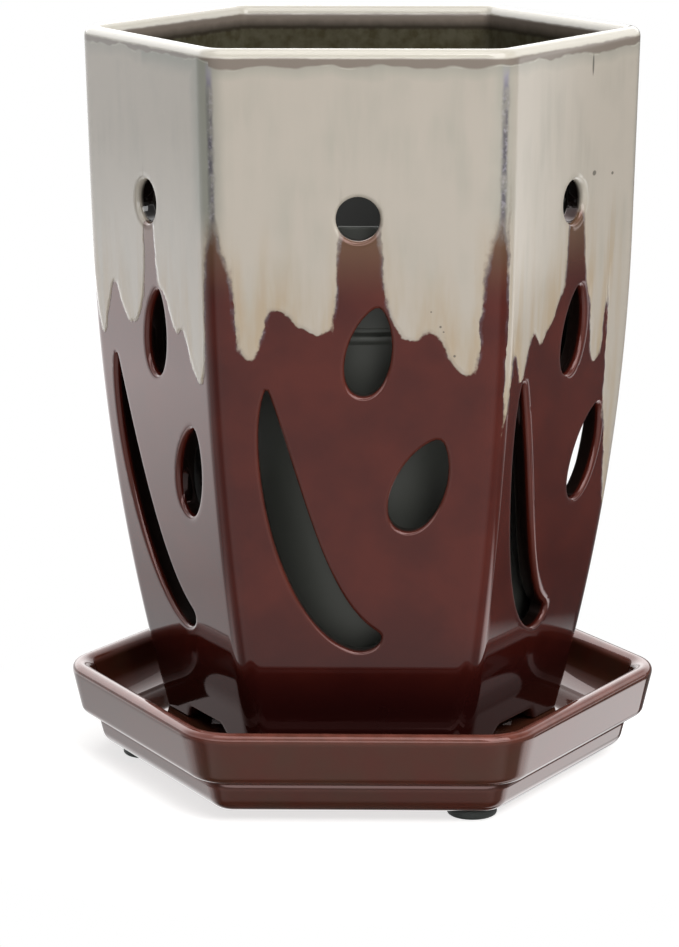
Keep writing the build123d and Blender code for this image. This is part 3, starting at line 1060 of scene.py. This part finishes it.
def glaze_place(add):
    """Where a spot of the pot's outside is: its face's number, millimetres across it and up, and its ripple.

    The ripple is a noise that bends the edge of the cream, as glaze that has run does.
    """
    place = add(COORDINATES).outputs["Object"]
    ripple = add(NOISE, {"Vector": place, "Scale": 1 / (5 * MM), "Detail": 3.0, "Roughness": 0.6})
    ripple = add(VECTOR, {0: ripple.outputs["Color"], 1: (0.5, 0.5, 0.5)}, operation="SUBTRACT")
    ripple = add("ShaderNodeSeparateXYZ", {0: ripple})
    spot = add("ShaderNodeSeparateXYZ", {0: add("ShaderNodeUVMap", uv_map="glaze_map")})
    number = add(MATH, {0: spot.outputs["X"]}, operation="FLOOR")
    share = add(MATH, {0: spot.outputs["X"]}, operation="FRACT")
    column = FACE_COLUMN / MM
    across = add(MATH, {0: share, 1: column, 2: -column / 2}, operation="MULTIPLY_ADD")
    up = add(MATH, {0: spot.outputs["Y"], 1: POT_HIGH[2] / MM}, operation="MULTIPLY")
    return {"place": place, "ripple": ripple, "number": number, "across": across, "up": up}


def height_above_edge(add, spot):
    """Distance in millimetres from the edge between the glazes, positive up in the cream one."""
    third = add(MATH, {0: spot["number"], 1: REAR_FACE}, operation="MODULO")
    own = {
        "X": add(MATH, {0: third, 1: 0.0, 2: 0.1}, operation="COMPARE"),
        "Y": add(MATH, {0: spot["number"], 1: 1.5, 2: 0.6}, operation="COMPARE"),
        "Z": add(MATH, {0: spot["number"], 1: 4.5, 2: 0.6}, operation="COMPARE"),
    }
    own = add("ShaderNodeCombineXYZ", own)
    hidden = add(MATH, {0: spot["number"], 1: REAR_FACE, 2: 1.1}, operation="COMPARE")
    mirror = add(MATH, {0: hidden, 1: -2.0, 2: 1.0}, operation="MULTIPLY_ADD")
    ripple = spot["ripple"].outputs
    across = add(MATH, {0: ripple["X"], 1: EDGE_RIPPLE_ACROSS, 2: spot["across"]}, operation="MULTIPLY_ADD")
    across = add(MATH, {0: across, 1: mirror}, operation="MULTIPLY")
    half = FACE_COLUMN / MM / 2
    heights = []
    for shift in (-EDGE_BESIDE, 0.0, EDGE_BESIDE):
        share = add(MATH, {0: across, 1: 1 / half, 2: shift / half}, operation="MULTIPLY_ADD")
        share = add("ShaderNodeCombineXYZ", {0: share, 1: share, 2: share})
        curves = add("ShaderNodeVectorCurve", {"Vector": share})
        for curve, points in zip(curves.mapping.curves, (FRONT_EDGE, RIGHT_EDGE, LEFT_EDGE)):
            places = [(x / half, (height - EDGE_MIDDLE) / EDGE_SPAN) for x, height in points]
            curve.points[0].location = places[0]
            curve.points[1].location = places[-1]
            for place in places[1:-1]:
                curve.points.new(*place)
        curves.mapping.update()
        height = add(VECTOR, {0: curves, 1: own}, operation="DOT_PRODUCT").outputs["Value"]
        height = add(MATH, {0: height, 1: EDGE_SPAN, 2: EDGE_MIDDLE}, operation="MULTIPLY_ADD")
        heights.append(height)
    before, edge, after = heights
    rise = add(MATH, {0: after, 1: before}, operation="SUBTRACT")
    slope = add(MATH, {0: rise, 1: 1 / (2 * EDGE_BESIDE)}, operation="MULTIPLY")
    slant = add(MATH, {0: slope, 1: slope, 2: 1.0}, operation="MULTIPLY_ADD")
    slant = add(MATH, {0: slant}, operation="SQRT")
    up = add(MATH, {0: ripple["Y"], 1: EDGE_RIPPLE_UP, 2: spot["up"]}, operation="MULTIPLY_ADD")
    above = add(MATH, {0: up, 1: edge}, operation="SUBTRACT")
    beside_low = add(MATH, {0: before, 1: after}, operation="MINIMUM")
    beside_run = add(MATH, {0: up, 1: beside_low}, operation="SUBTRACT")
    return add(MATH, {0: above, 1: slant}, operation="DIVIDE"), beside_run


def brown_glaze(add, place, up, colours):
    """Red-brown glaze: faintly cloudy, run thin and olive where it climbs high between the cream runs,
    painted shade at the foot.
    """
    cloud = add(NOISE, {"Vector": place, "Scale": 1 / (12 * MM), "Detail": 3.0})
    clouded = add(RANGE, {"Value": cloud, "From Min": 0.35, "From Max": 0.65})
    high = add(RANGE, {"Value": up, **SPANS["olive_climb"], "To Max": 0.9}, **SMOOTH)
    # Painted shade towards the foot.
    low = add(RANGE, {"Value": up, **SPANS["foot_shade"], "To Max": 0.9}, **SMOOTH)
    brown = colours.brown
    for cover, colour in ((clouded, colours.brown_dark), (high, colours.olive), (low, colours.brown_foot_shade)):
        brown = add(MIX, {"Factor": cover, "A": brown, "B": colour}, data_type="RGBA")
    return brown


def cream_glaze(add, place, above, up, colours):
    """Cream glaze: greyish with faint upright streaks, and thick and yellowish at the ends of its runs."""
    runs = add(VECTOR, {0: place, 1: (1.0, 1.0, 0.16)}, operation="MULTIPLY")
    streaks = add(NOISE, {"Vector": runs, "Scale": 1 / (3.5 * MM), "Detail": 3.0})
    streak = add(RANGE, {"Value": streaks, "From Min": 0.38, "From Max": 0.66, "To Max": 0.7})
    clouds = add(NOISE, {"Vector": place, "Scale": 1 / (16 * MM), "Detail": 2.0})
    cloudy = add(RANGE, {"Value": clouds, "From Min": 0.4, "From Max": 0.62})
    grey = add(MATH, {0: streak, 1: cloudy}, operation="MULTIPLY")
    near = add(RANGE, {"Value": above, **SPANS["near_edge"]})
    low = add(RANGE, {"Value": up, **SPANS["thick_cream"]})
    pooled = add(RANGE, {"Value": streaks, "From Min": 0.34, "From Max": 0.6, "To Max": 0.75})
    thick = add(MATH, {0: near, 1: low}, operation="MULTIPLY")
    thick = add(MATH, {0: thick, 1: pooled}, operation="MULTIPLY")
    cream = colours.cream
    for cover, colour in ((grey, colours.cream_grey), (thick, colours.cream_thick)):
        cream = add(MIX, {"Factor": cover, "A": cream, "B": colour}, data_type="RGBA")
    return cream


def lavender_fringe(add, place, above, beside_run, colours):
    """Violet-grey fringe with pale specks on the steep sides of the runs, where the two glazes have mixed."""
    fringe = add(RANGE, {"Value": beside_run, **SPANS["fringe_side"], "To Max": 0.45})
    patch = add(NOISE, {"Vector": place, "Scale": 1 / (3 * MM), "Detail": 2.0})
    for share in (
        add(RANGE, {"Value": above, **SPANS["fringe_low"]}, **SMOOTH),
        add(RANGE, {"Value": above, **SPANS["fringe_high"]}, **SMOOTH),
        add(RANGE, {"Value": patch, "From Min": 0.36, "From Max": 0.56}),
    ):
        fringe = add(MATH, {0: fringe, 1: share}, operation="MULTIPLY")
    speck = add(NOISE, {"Vector": place, "Scale": 1 / (0.7 * MM), "Detail": 1.0})
    speck = add(RANGE, {"Value": speck, "From Min": 0.58, "From Max": 0.76, "To Max": 0.7})
    violet = add(MIX, {"Factor": speck, "A": colours.violet, "B": colours.lavender}, data_type="RGBA")
    yield fringe, violet


def corner_lines(add, spot, colours):
    """Soft violet-grey line down each upper corner, where the cream has drawn back from the edge.

    It is strongest on the corner right of the left face, which also has a wide grey-green strip beside it.
    """
    place, up = spot["place"], spot["up"]
    gap = add(ATTRIBUTE, attribute_name="corner_gap").outputs["Fac"]
    waver = add(NOISE, {"Vector": place, "Scale": 1 / (3 * MM), "Detail": 2.0})
    gap = add(MATH, {0: gap, 1: 1 / MM, 2: -0.5}, operation="MULTIPLY_ADD")
    gap = add(MATH, {0: waver, 1: gap}, operation="ADD")
    left_face = add(MATH, {0: spot["number"], 1: LEFT_FACE, 2: 0.1}, operation="COMPARE")
    right_end = add(RANGE, {"Value": spot["across"], "From Min": 0.0, "From Max": 1.0})
    strip_place = add(MATH, {0: left_face, 1: right_end}, operation="MULTIPLY")
    lowest = add(RANGE, {"Value": up, **SPANS["corner_line"]})
    strip = add(RANGE, {"Value": gap, **SPANS["strip_width"], "To Max": 0.9}, **SMOOTH)
    strip = add(MATH, {0: strip, 1: strip_place}, operation="MULTIPLY")
    haze = add(RANGE, {"Value": gap, **SPANS["haze_width"], "To Max": 0.45})
    haze = add(MATH, {0: haze, 1: strip}, operation="MAXIMUM")
    yield add(MATH, {0: haze, 1: lowest}, operation="MULTIPLY"), colours.haze
    line = add(RANGE, {"Value": gap, **SPANS["line_width"]}, **SMOOTH)
    broken = add(RANGE, {"Value": waver, "From Min": 0.4, "From Max": 0.6, "To Min": 0.45, "To Max": 0.95})
    line = add(MATH, {0: line, 1: broken}, operation="MULTIPLY")
    speck = add(NOISE, {"Vector": place, "Scale": 1 / (0.8 * MM), "Detail": 1.0})
    speck = add(RANGE, {"Value": speck, "From Min": 0.5, "From Max": 0.7, "To Max": 0.6})
    high = add(RANGE, {"Value": up, **SPANS["pale_corner"]})
    speck = add(MATH, {0: speck, 1: high}, operation="MAXIMUM")
    violet = add(MIX, {"Factor": speck, "A": colours.violet, "B": colours.lavender}, data_type="RGBA")
    yield add(MATH, {0: line, 1: lowest}, operation="MULTIPLY"), violet


def rim_band(add, spot, colours):
    """Thin taupe band under the lip with a ragged lower edge, and a pale thread where the cream begins."""
    drips = add(NOISE, {"Vector": spot["place"], "Scale": 1 / (8 * MM), "Detail": 2.0, "Roughness": 0.45})
    edge = add(MATH, {0: drips, 1: BAND_WAVE, 2: BAND_HEIGHT}, operation="MULTIPLY_ADD")
    left = add(MATH, {0: spot["number"], 1: LEFT_FACE, 2: 0.1}, operation="COMPARE")
    edge = add(MATH, {0: left, 1: BAND_LEFT_RISE, 2: edge}, operation="MULTIPLY_ADD")
    over = add(MATH, {0: spot["up"], 1: edge}, operation="SUBTRACT")
    yield add(RANGE, {"Value": over, **SPANS["band_shade"], "To Max": 0.5}), colours.haze
    yield add(RANGE, {"Value": over, **SPANS["band_edge"]}, **SMOOTH), colours.tan
    beside = add(MATH, {0: over, 1: THREAD_DROP}, operation="ADD")
    beside = add(MATH, {0: beside}, operation="ABSOLUTE")
    thread = add(RANGE, {"Value": beside, **SPANS["thread_width"]})
    broken = add(NOISE, {"Vector": spot["place"], "Scale": 1 / (5 * MM), "Detail": 2.0})
    broken = add(RANGE, {"Value": broken, "From Min": 0.5, "From Max": 0.6, "To Max": 0.4})
    yield add(MATH, {0: thread, 1: broken}, operation="MULTIPLY"), colours.pale


def pale_lip(add, spot, colours):
    """Pale cream on the rounding of the lip, which the taupe band doesn't reach, partly a painted highlight.
    """
    waver = add(NOISE, {"Vector": spot["place"], "Scale": 1 / (5 * MM), "Detail": 2.0})
    height = add(MATH, {0: waver, 1: 0.8, 2: spot["up"]}, operation="MULTIPLY_ADD")
    # Painted highlight, in part: the lip's rounding is paled.
    yield add(RANGE, {"Value": height, **SPANS["pale_lip"]}, **SMOOTH), colours.pale


def flaws(add, spot, colours):
    """Pinholes and short cracks in the cream, each an ellipse at its own place on a face."""
    width_of_face = FACE_COLUMN / MM
    column = add(MATH, {0: spot["number"], 1: width_of_face, 2: spot["across"]}, operation="MULTIPLY_ADD")
    place = add("ShaderNodeCombineXYZ", {0: column, 1: spot["up"]})
    for number, across, up, width, height in FLAWS:
        middle = (number * width_of_face + across, up, 0)
        away = add(VECTOR, {0: place, 1: middle}, operation="SUBTRACT")
        away = add(VECTOR, {0: away, 1: (2 / width, 2 / height, 0)}, operation="MULTIPLY")
        away = add(VECTOR, {0: away}, operation="LENGTH").outputs["Value"]
        yield add(RANGE, {"Value": away, "From Min": 1.1, "From Max": 0.7, "To Max": 0.75}), colours.flaw


def edge_glaze_and_painted_light(add, cream_share, colours):
    """Thin glaze on edges, pale on cream, pinkish on brown, partly painted highlight; painted shade in the
    cut-outs.
    """
    thin = add(ATTRIBUTE, attribute_name="thin_glaze_and_painted_light").outputs["Fac"]
    # Paler glaze on edges, partly painted highlight.
    edge_tint_and_highlight = add(MIX, {"Factor": cream_share, "A": colours.brown_thin_and_highlight, "B": colours.pale}, data_type="RGBA")
    share = add(MATH, {0: cream_share, 1: 0.2, 2: 0.15}, operation="MULTIPLY_ADD")
    yield add(MATH, {0: thin, 1: share}, operation="MULTIPLY", use_clamp=True), edge_tint_and_highlight
    # Painted shade: the walls through the cut-outs take the dark lining colour.
    yield add(MATH, {0: thin, 1: -1.2}, operation="MULTIPLY", use_clamp=True), colours.lining


def inside_glaze(add, spot, colours):
    """Thin olive glaze inside the pot, with a taupe band below the lip, a painted shadow line under it, and
    painted shade deeper down.
    """
    mottle = add(NOISE, {"Vector": spot["place"], "Scale": 1 / (2.5 * MM), "Detail": 3.0})
    wave = add(MATH, {0: mottle, 1: 0.8, 2: spot["up"]}, operation="MULTIPLY_ADD")
    olive = colours.inside
    for cover, colour in (
        (add(RANGE, {"Value": mottle, "From Min": 0.35, "From Max": 0.65}), colours.inside_dark),
        # Painted shade deeper inside the pot.
        (add(RANGE, {"Value": spot["up"], **SPANS["inside_shade_depth"]}, **SMOOTH), colours.inside_shade),
        # Painted shadow line under the inner lip.
        (add(RANGE, {"Value": wave, **SPANS["inside_shadow_line"], "To Max": 0.7}), colours.inside_shadow_line),
        (add(RANGE, {"Value": wave, **SPANS["inside_band"]}), colours.tan),
    ):
        olive = add(MIX, {"Factor": cover, "A": olive, "B": colour}, data_type="RGBA")
    inside = add(ATTRIBUTE, attribute_name="inside").outputs["Fac"]
    yield add(RANGE, {"Value": inside, "From Min": 0.1, "From Max": 0.6}), olive


def glaze_relief(add, place, above):
    """Surface of the glaze: slow waves that bend what it mirrors, and the raised edge of the cream runs."""
    waves = add(NOISE, {"Vector": place, "Scale": 1 / (16 * MM), "Detail": 1.0})
    relief = add(BUMP, {"Strength": 1.0, "Distance": 0.01 * MM, "Height": waves})
    runs = add(VECTOR, {0: place, 1: (1.0, 1.0, 0.25)}, operation="MULTIPLY")
    streaks = add(NOISE, {"Vector": runs, "Scale": 1 / (5 * MM), "Detail": 1.0})
    relief = add(BUMP, {"Distance": 0.0015 * MM, "Height": streaks, "Normal": relief})
    if above:
        raised = add(RANGE, {"Value": above, **SPANS["raised_edge"]}, **SMOOTH)
        relief = add(BUMP, {"Distance": 0.12 * MM, "Height": raised, "Normal": relief})
    return relief


def pot_material(colours):
    """Two reactive glazes on stoneware, cream run down over red-brown.

    The eye gets a glassy, wet-looking surface with a slow waviness, runs with ragged lavender fringes, and
    thin, paler glaze on every sharp edge that is partly painted highlight, with painted shade in the
    cut-outs.
    """
    material, add = new_material("two_tone_reactive_glaze")
    spot = glaze_place(add)
    place, up = spot["place"], spot["up"]
    above, beside_run = height_above_edge(add, spot)
    rag = add(NOISE, {"Vector": place, "Scale": 1 / (1.1 * MM), "Detail": 2.0})
    above = add(MATH, {0: rag, 1: 0.6, 2: above}, operation="MULTIPLY_ADD")
    above = add(MATH, {0: above, 1: 0.3}, operation="SUBTRACT")
    brown = brown_glaze(add, place, up, colours)
    cream = cream_glaze(add, place, above, up, colours)
    softness = add(RANGE, {"Value": up, **SPANS["soft_edge"], "To Min": 0.22, "To Max": 1.2})
    hardness = add(MATH, {0: softness, 1: -1.0}, operation="MULTIPLY")
    cream_share = add(RANGE, {"Value": above, "From Min": hardness, "From Max": softness}, **SMOOTH)
    layers = chain(
        [(cream_share, cream)],
        lavender_fringe(add, place, above, beside_run, colours),
        corner_lines(add, spot, colours),
        rim_band(add, spot, colours),
        flaws(add, spot, colours),
        edge_glaze_and_painted_light(add, cream_share, colours),
        inside_glaze(add, spot, colours),
        pale_lip(add, spot, colours),
    )
    glaze = brown
    for cover, colour in layers:
        glaze = add(MIX, {"Factor": cover, "A": glaze, "B": colour}, data_type="RGBA")
    shine = add(MIX, {"Factor": cream_share, "A": IRON_SHEEN, "B": WHITE}, data_type="RGBA")
    relief = glaze_relief(add, place, above)
    look = {"Base Color": glaze, "Roughness": 0.035, "IOR": 1.5}
    add(OUTPUT, {"Surface": add(SHADER, {**look, "Specular Tint": shine, "Normal": relief})})
    return material


def saucer_material(colours):
    """Glassy red-brown glaze, paler and copper along the lip and edges where it ran thin; partly painted
    highlight on the band.
    """
    material, add = new_material("red_brown_glaze")
    place = add(COORDINATES).outputs["Object"]
    cloud = add(NOISE, {"Vector": place, "Scale": 1 / (9 * MM), "Detail": 3.0})
    clouded = add(RANGE, {"Value": cloud, "From Min": 0.35, "From Max": 0.65, "To Max": 0.5})
    thin = add(ATTRIBUTE, attribute_name="thin_glaze_and_painted_light").outputs["Fac"]
    waver = add(NOISE, {"Vector": place, "Scale": 1 / (3 * MM), "Detail": 3.0})
    waver = add(RANGE, {"Value": waver, "From Min": 0.3, "From Max": 0.7, "To Min": 0.5, "To Max": 1.0})
    thin = add(MATH, {0: thin, 1: waver}, operation="MULTIPLY")
    glaze = colours.saucer_brown
    for cover, colour in ((clouded, colours.brown), (thin, colours.copper)):
        glaze = add(MIX, {"Factor": cover, "A": glaze, "B": colour}, data_type="RGBA")
    relief = glaze_relief(add, place, None)
    look = {"Base Color": glaze, "Roughness": 0.035, "IOR": 1.5}
    add(OUTPUT, {"Surface": add(SHADER, {**look, "Specular Tint": IRON_SHEEN, "Normal": relief})})
    return material


def floor_material(colours):
    """Pale matt floor with the pot's soft shadow on it, which turns into the white backdrop further out."""
    material, add = new_material("pale_floor")
    matt = add(SHADER, {"Base Color": colours.floor, "Roughness": 0.9, "Specular IOR Level": 0.0})
    ray = add("ShaderNodeLightPath").outputs
    seen = ray["Is Camera Ray"]
    for kind in ("Is Glossy Ray", "Is Transmission Ray"):
        seen = add(MATH, {0: seen, 1: ray[kind]}, operation="MAXIMUM")
    place = add(COORDINATES).outputs["Object"]
    away = add(VECTOR, {0: place}, operation="LENGTH").outputs["Value"]
    open_floor = add(RANGE, {"Value": away, "From Min": SHADOW_NEAR, "From Max": SHADOW_FAR}, **SMOOTH)
    open_floor = add(MATH, {0: open_floor, 1: seen}, operation="MULTIPLY")
    lift = add(MATH, {0: seen, 1: FLOOR_LIFT}, operation="MULTIPLY")
    lifted = add("ShaderNodeEmission", {"Color": WHITE, "Strength": lift})
    lifted = add("ShaderNodeAddShader", {0: matt, 1: lifted})
    white = add("ShaderNodeEmission", {"Color": WHITE, "Strength": 1.0})
    add(OUTPUT, {"Surface": add("ShaderNodeMixShader", {0: open_floor, 1: lifted, 2: white})})
    return material


def mirrored_room(add):
    """Brightness of the room that the glaze mirrors, for each way that a ray goes."""
    way = add("ShaderNodeSeparateXYZ", {0: add(COORDINATES).outputs["Generated"]})
    way = dict(zip(("right", "back", "up"), way.outputs))
    turn = add(MATH, {0: way["right"], 1: way["back"]}, operation="ARCTAN2")
    way["turn"] = add(MATH, {0: turn, 1: 1 / (2 * pi), 2: 0.5}, operation="MULTIPLY_ADD")
    on_right = add(MATH, {0: way["right"], 1: 0.0}, operation="MAXIMUM")
    way["table_up"] = add(MATH, {0: on_right, 1: TABLE_FALL, 2: way["up"]}, operation="MULTIPLY_ADD")
    share = {}
    for name, source, start, end, low, high in ROOM_CHANGES:
        span = {"From Min": start, "From Max": end, "To Min": low, "To Max": high}
        share[name] = add(RANGE, {"Value": way[source], **span})
    turn = add(MATH, {0: way["up"], 1: ROOM_LEAN / 360, 2: way["turn"]}, operation="MULTIPLY_ADD")
    room = add("ShaderNodeValToRGB", {"Fac": turn})
    stops = room.color_ramp.elements
    while len(stops) < len(ROOM_ROUND):
        stops.new(0.5)
    for stop, (turned, brightness) in zip(stops, ROOM_ROUND):
        stop.position = turned / 360 + 0.5
        stop.color = (*[brightness / BRIGHTEST_ROOM] * 3, 1)
    dim = add(MATH, {0: share["low_dim"], 1: share["behind"]}, operation="MULTIPLY")
    dim = add(MATH, {0: 1.0, 1: dim}, operation="SUBTRACT")
    for factor in (BRIGHTEST_ROOM, dim, share["high_dim"], share["under_dim"]):
        room = add(MATH, {0: room, 1: factor}, operation="MULTIPLY")
    table = add(MATH, {0: share["table"], 1: share["table_front"]}, operation="MULTIPLY")
    beside = add(MATH, {0: share["table_low"], 1: share["table_side"]}, operation="MULTIPLY")
    table = add(MATH, {0: table, 1: beside}, operation="MAXIMUM")
    table = add(MATH, {0: table, 1: share["behind"]}, operation="MULTIPLY")
    glow = add(MATH, {0: on_right, 1: TABLE_GLOW_RIGHT, 2: TABLE_GLOW}, operation="MULTIPLY_ADD")
    ceiling = add(MATH, {0: share["ceiling_back"], 1: share["ceiling_side"]}, operation="MULTIPLY")
    box = add(MATH, {0: share["box_foot"], 1: share["box_top"]}, operation="MULTIPLY")
    box = add(MATH, {0: box, 1: share["box_round"]}, operation="MULTIPLY")
    for cover, brightness in ((table, glow), (share["ceiling"], ceiling), (box, FRONT_BOX)):
        room = add(MIX, {"Factor": cover, "A": room, "B": brightness})
    return room


def build_world(settings):
    """White backdrop, even light from all round, and the room that the glaze mirrors."""
    world = bpy.data.worlds.new("white_room")
    world.use_nodes = True
    world.node_tree.nodes.clear()
    add = partial(add_node, world.node_tree)
    ray = add("ShaderNodeLightPath").outputs
    mirrored = add(MATH, {0: ray["Is Glossy Ray"], 1: ray["Is Transmission Ray"]}, operation="MAXIMUM")
    strength = add(MIX, {"Factor": mirrored, "A": settings.room_light, "B": mirrored_room(add)})
    strength = add(MIX, {"Factor": ray["Is Camera Ray"], "A": strength, "B": 1.0})
    background = add("ShaderNodeBackground", {"Color": WHITE, "Strength": strength})
    add("ShaderNodeOutputWorld", {"Surface": background})
    return world


def build_panels(scene, settings):
    """Soft light panels that look at the middle of the pot and stay out of the picture."""
    pot_middle = Vector((0, 0, POT_HIGH[2] / 2))
    for name, size, spot, light_share in PANELS:
        light = bpy.data.lights.new(name, "AREA")
        light.shape = "RECTANGLE"
        light.size, light.size_y = size
        away = Vector(spot) - pot_middle
        light.energy = light_share * settings.panel_light * away.length_squared * pi * pi
        lamp = bpy.data.objects.new(name, light)
        lamp.location = spot
        lamp.rotation_euler = away.to_track_quat("Z", "Y").to_euler()
        lamp.visible_camera = False
        scene.collection.objects.link(lamp)


def build_camera(scene, settings):
    """Camera at the viewing angle of the reference photograph."""
    data = bpy.data.cameras.new("view_camera")
    data.lens = settings.focal_length
    data.sensor_width = SENSOR_WIDTH
    data.shift_x = -settings.object_right_share
    data.clip_end = CAMERA_FAR
    camera = bpy.data.objects.new("view_camera", data)
    scene.collection.objects.link(camera)
    turn = settings.camera_turn
    across, ahead = settings.camera_distance * sin(turn), settings.camera_distance * cos(turn)
    camera.location = (across, -ahead, settings.camera_height)
    camera.rotation_euler = (pi / 2 - settings.camera_pitch, 0, turn)
    return camera


class ORCHID_OT_pot(bpy.types.Operator):
    """Build the slotted pot"""

    bl_idname = "orchid.pot"
    bl_label = "Build slotted pot"

    def execute(self, context):
        scene = context.scene
        bm = build_pot(scene.orchid_pot)
        glaze = pot_material(scene.orchid_glaze)
        finish_piece(bm, "glazed_pot", "slotted_pot", "two_tone_glaze", glaze, "slotted_pot")
        return {"FINISHED"}


class ORCHID_OT_saucer(bpy.types.Operator):
    """Build the saucer"""

    bl_idname = "orchid.saucer"
    bl_label = "Build saucer"

    def execute(self, context):
        scene = context.scene
        bm = build_saucer(scene.orchid_saucer)
        glaze = saucer_material(scene.orchid_glaze)
        finish_piece(bm, "glazed_saucer", "saucer", "brown_glaze", glaze, "saucer")
        return {"FINISHED"}


class ORCHID_OT_nursery_pot(bpy.types.Operator):
    """Build the plastic nursery pot"""

    bl_idname = "orchid.nursery_pot"
    bl_label = "Build nursery pot"

    def execute(self, context):
        scene = context.scene
        bm = build_nursery_pot(scene.orchid_nursery)
        plastic = plastic_material(scene.orchid_glaze)
        finish_piece(bm, "grow_pot", "nursery_pot", "nursery_plastic", plastic, "nursery_pot")
        return {"FINISHED"}


class ORCHID_OT_feet(bpy.types.Operator):
    """Build the three rubber feet"""

    bl_idname = "orchid.feet"
    bl_label = "Build rubber feet"

    def execute(self, context):
        rubber = rubber_material(context.scene.orchid_glaze)
        for node in FOOT_NODES:
            name = node.replace("rubber_foot", "foot_pad")
            finish_piece(build_foot(node), name, "saucer", "foot_rubber", rubber, node)
        return {"FINISHED"}


class ORCHID_OT_stage(bpy.types.Operator):
    """Set up the floor, the light and the camera"""

    bl_idname = "orchid.stage"
    bl_label = "Set up stage"

    def execute(self, context):
        scene = context.scene
        settings = scene.orchid_stage
        mesh = bpy.data.meshes.new("studio_floor")
        bm = bmesh.new()
        bmesh.ops.create_grid(bm, x_segments=1, y_segments=1, size=FLOOR_HALF)
        bm.to_mesh(mesh)
        bm.free()
        mesh.materials.append(floor_material(scene.orchid_glaze))
        floor = bpy.data.objects.new("studio_floor", mesh)
        floor.visible_glossy = False
        scene.collection.objects.link(floor)
        scene.world = build_world(settings)
        build_panels(scene, settings)
        scene.camera = build_camera(scene, settings)
        scene.view_settings.view_transform = "Standard"
        return {"FINISHED"}


class ORCHID_PT_panel(bpy.types.Panel):
    """Buttons that build the orchid pot"""

    bl_idname = "ORCHID_PT_panel"
    bl_label = "Glazed orchid pot"
    bl_space_type = "VIEW_3D"
    bl_region_type = "UI"
    bl_category = "Orchid Pot"

    def draw(self, context):
        for operator in OPERATORS:
            self.layout.operator(operator.bl_idname)


GROUPS = {
    "orchid_pot": PotSizes,
    "orchid_saucer": SaucerSizes,
    "orchid_nursery": NurserySizes,
    "orchid_glaze": GlazeColours,
    "orchid_stage": StageSettings,
}
OPERATORS = (ORCHID_OT_pot, ORCHID_OT_saucer, ORCHID_OT_nursery_pot, ORCHID_OT_feet, ORCHID_OT_stage)


def register():
    for group in GROUPS.values():
        bpy.utils.register_class(group)
    for name, group in GROUPS.items():
        setattr(bpy.types.Scene, name, bpy.props.PointerProperty(type=group))
    for operator in OPERATORS:
        bpy.utils.register_class(operator)
    bpy.utils.register_class(ORCHID_PT_panel)


def unregister():
    bpy.utils.unregister_class(ORCHID_PT_panel)
    for operator in OPERATORS:
        bpy.utils.unregister_class(operator)
    for name in GROUPS:
        delattr(bpy.types.Scene, name)
    for group in GROUPS.values():
        bpy.utils.unregister_class(group)


def main():
    register()
    bpy.ops.orchid.pot()
    bpy.ops.orchid.saucer()
    bpy.ops.orchid.nursery_pot()
    bpy.ops.orchid.feet()
    bpy.ops.orchid.stage()


if __name__ == "__main__":
    main()
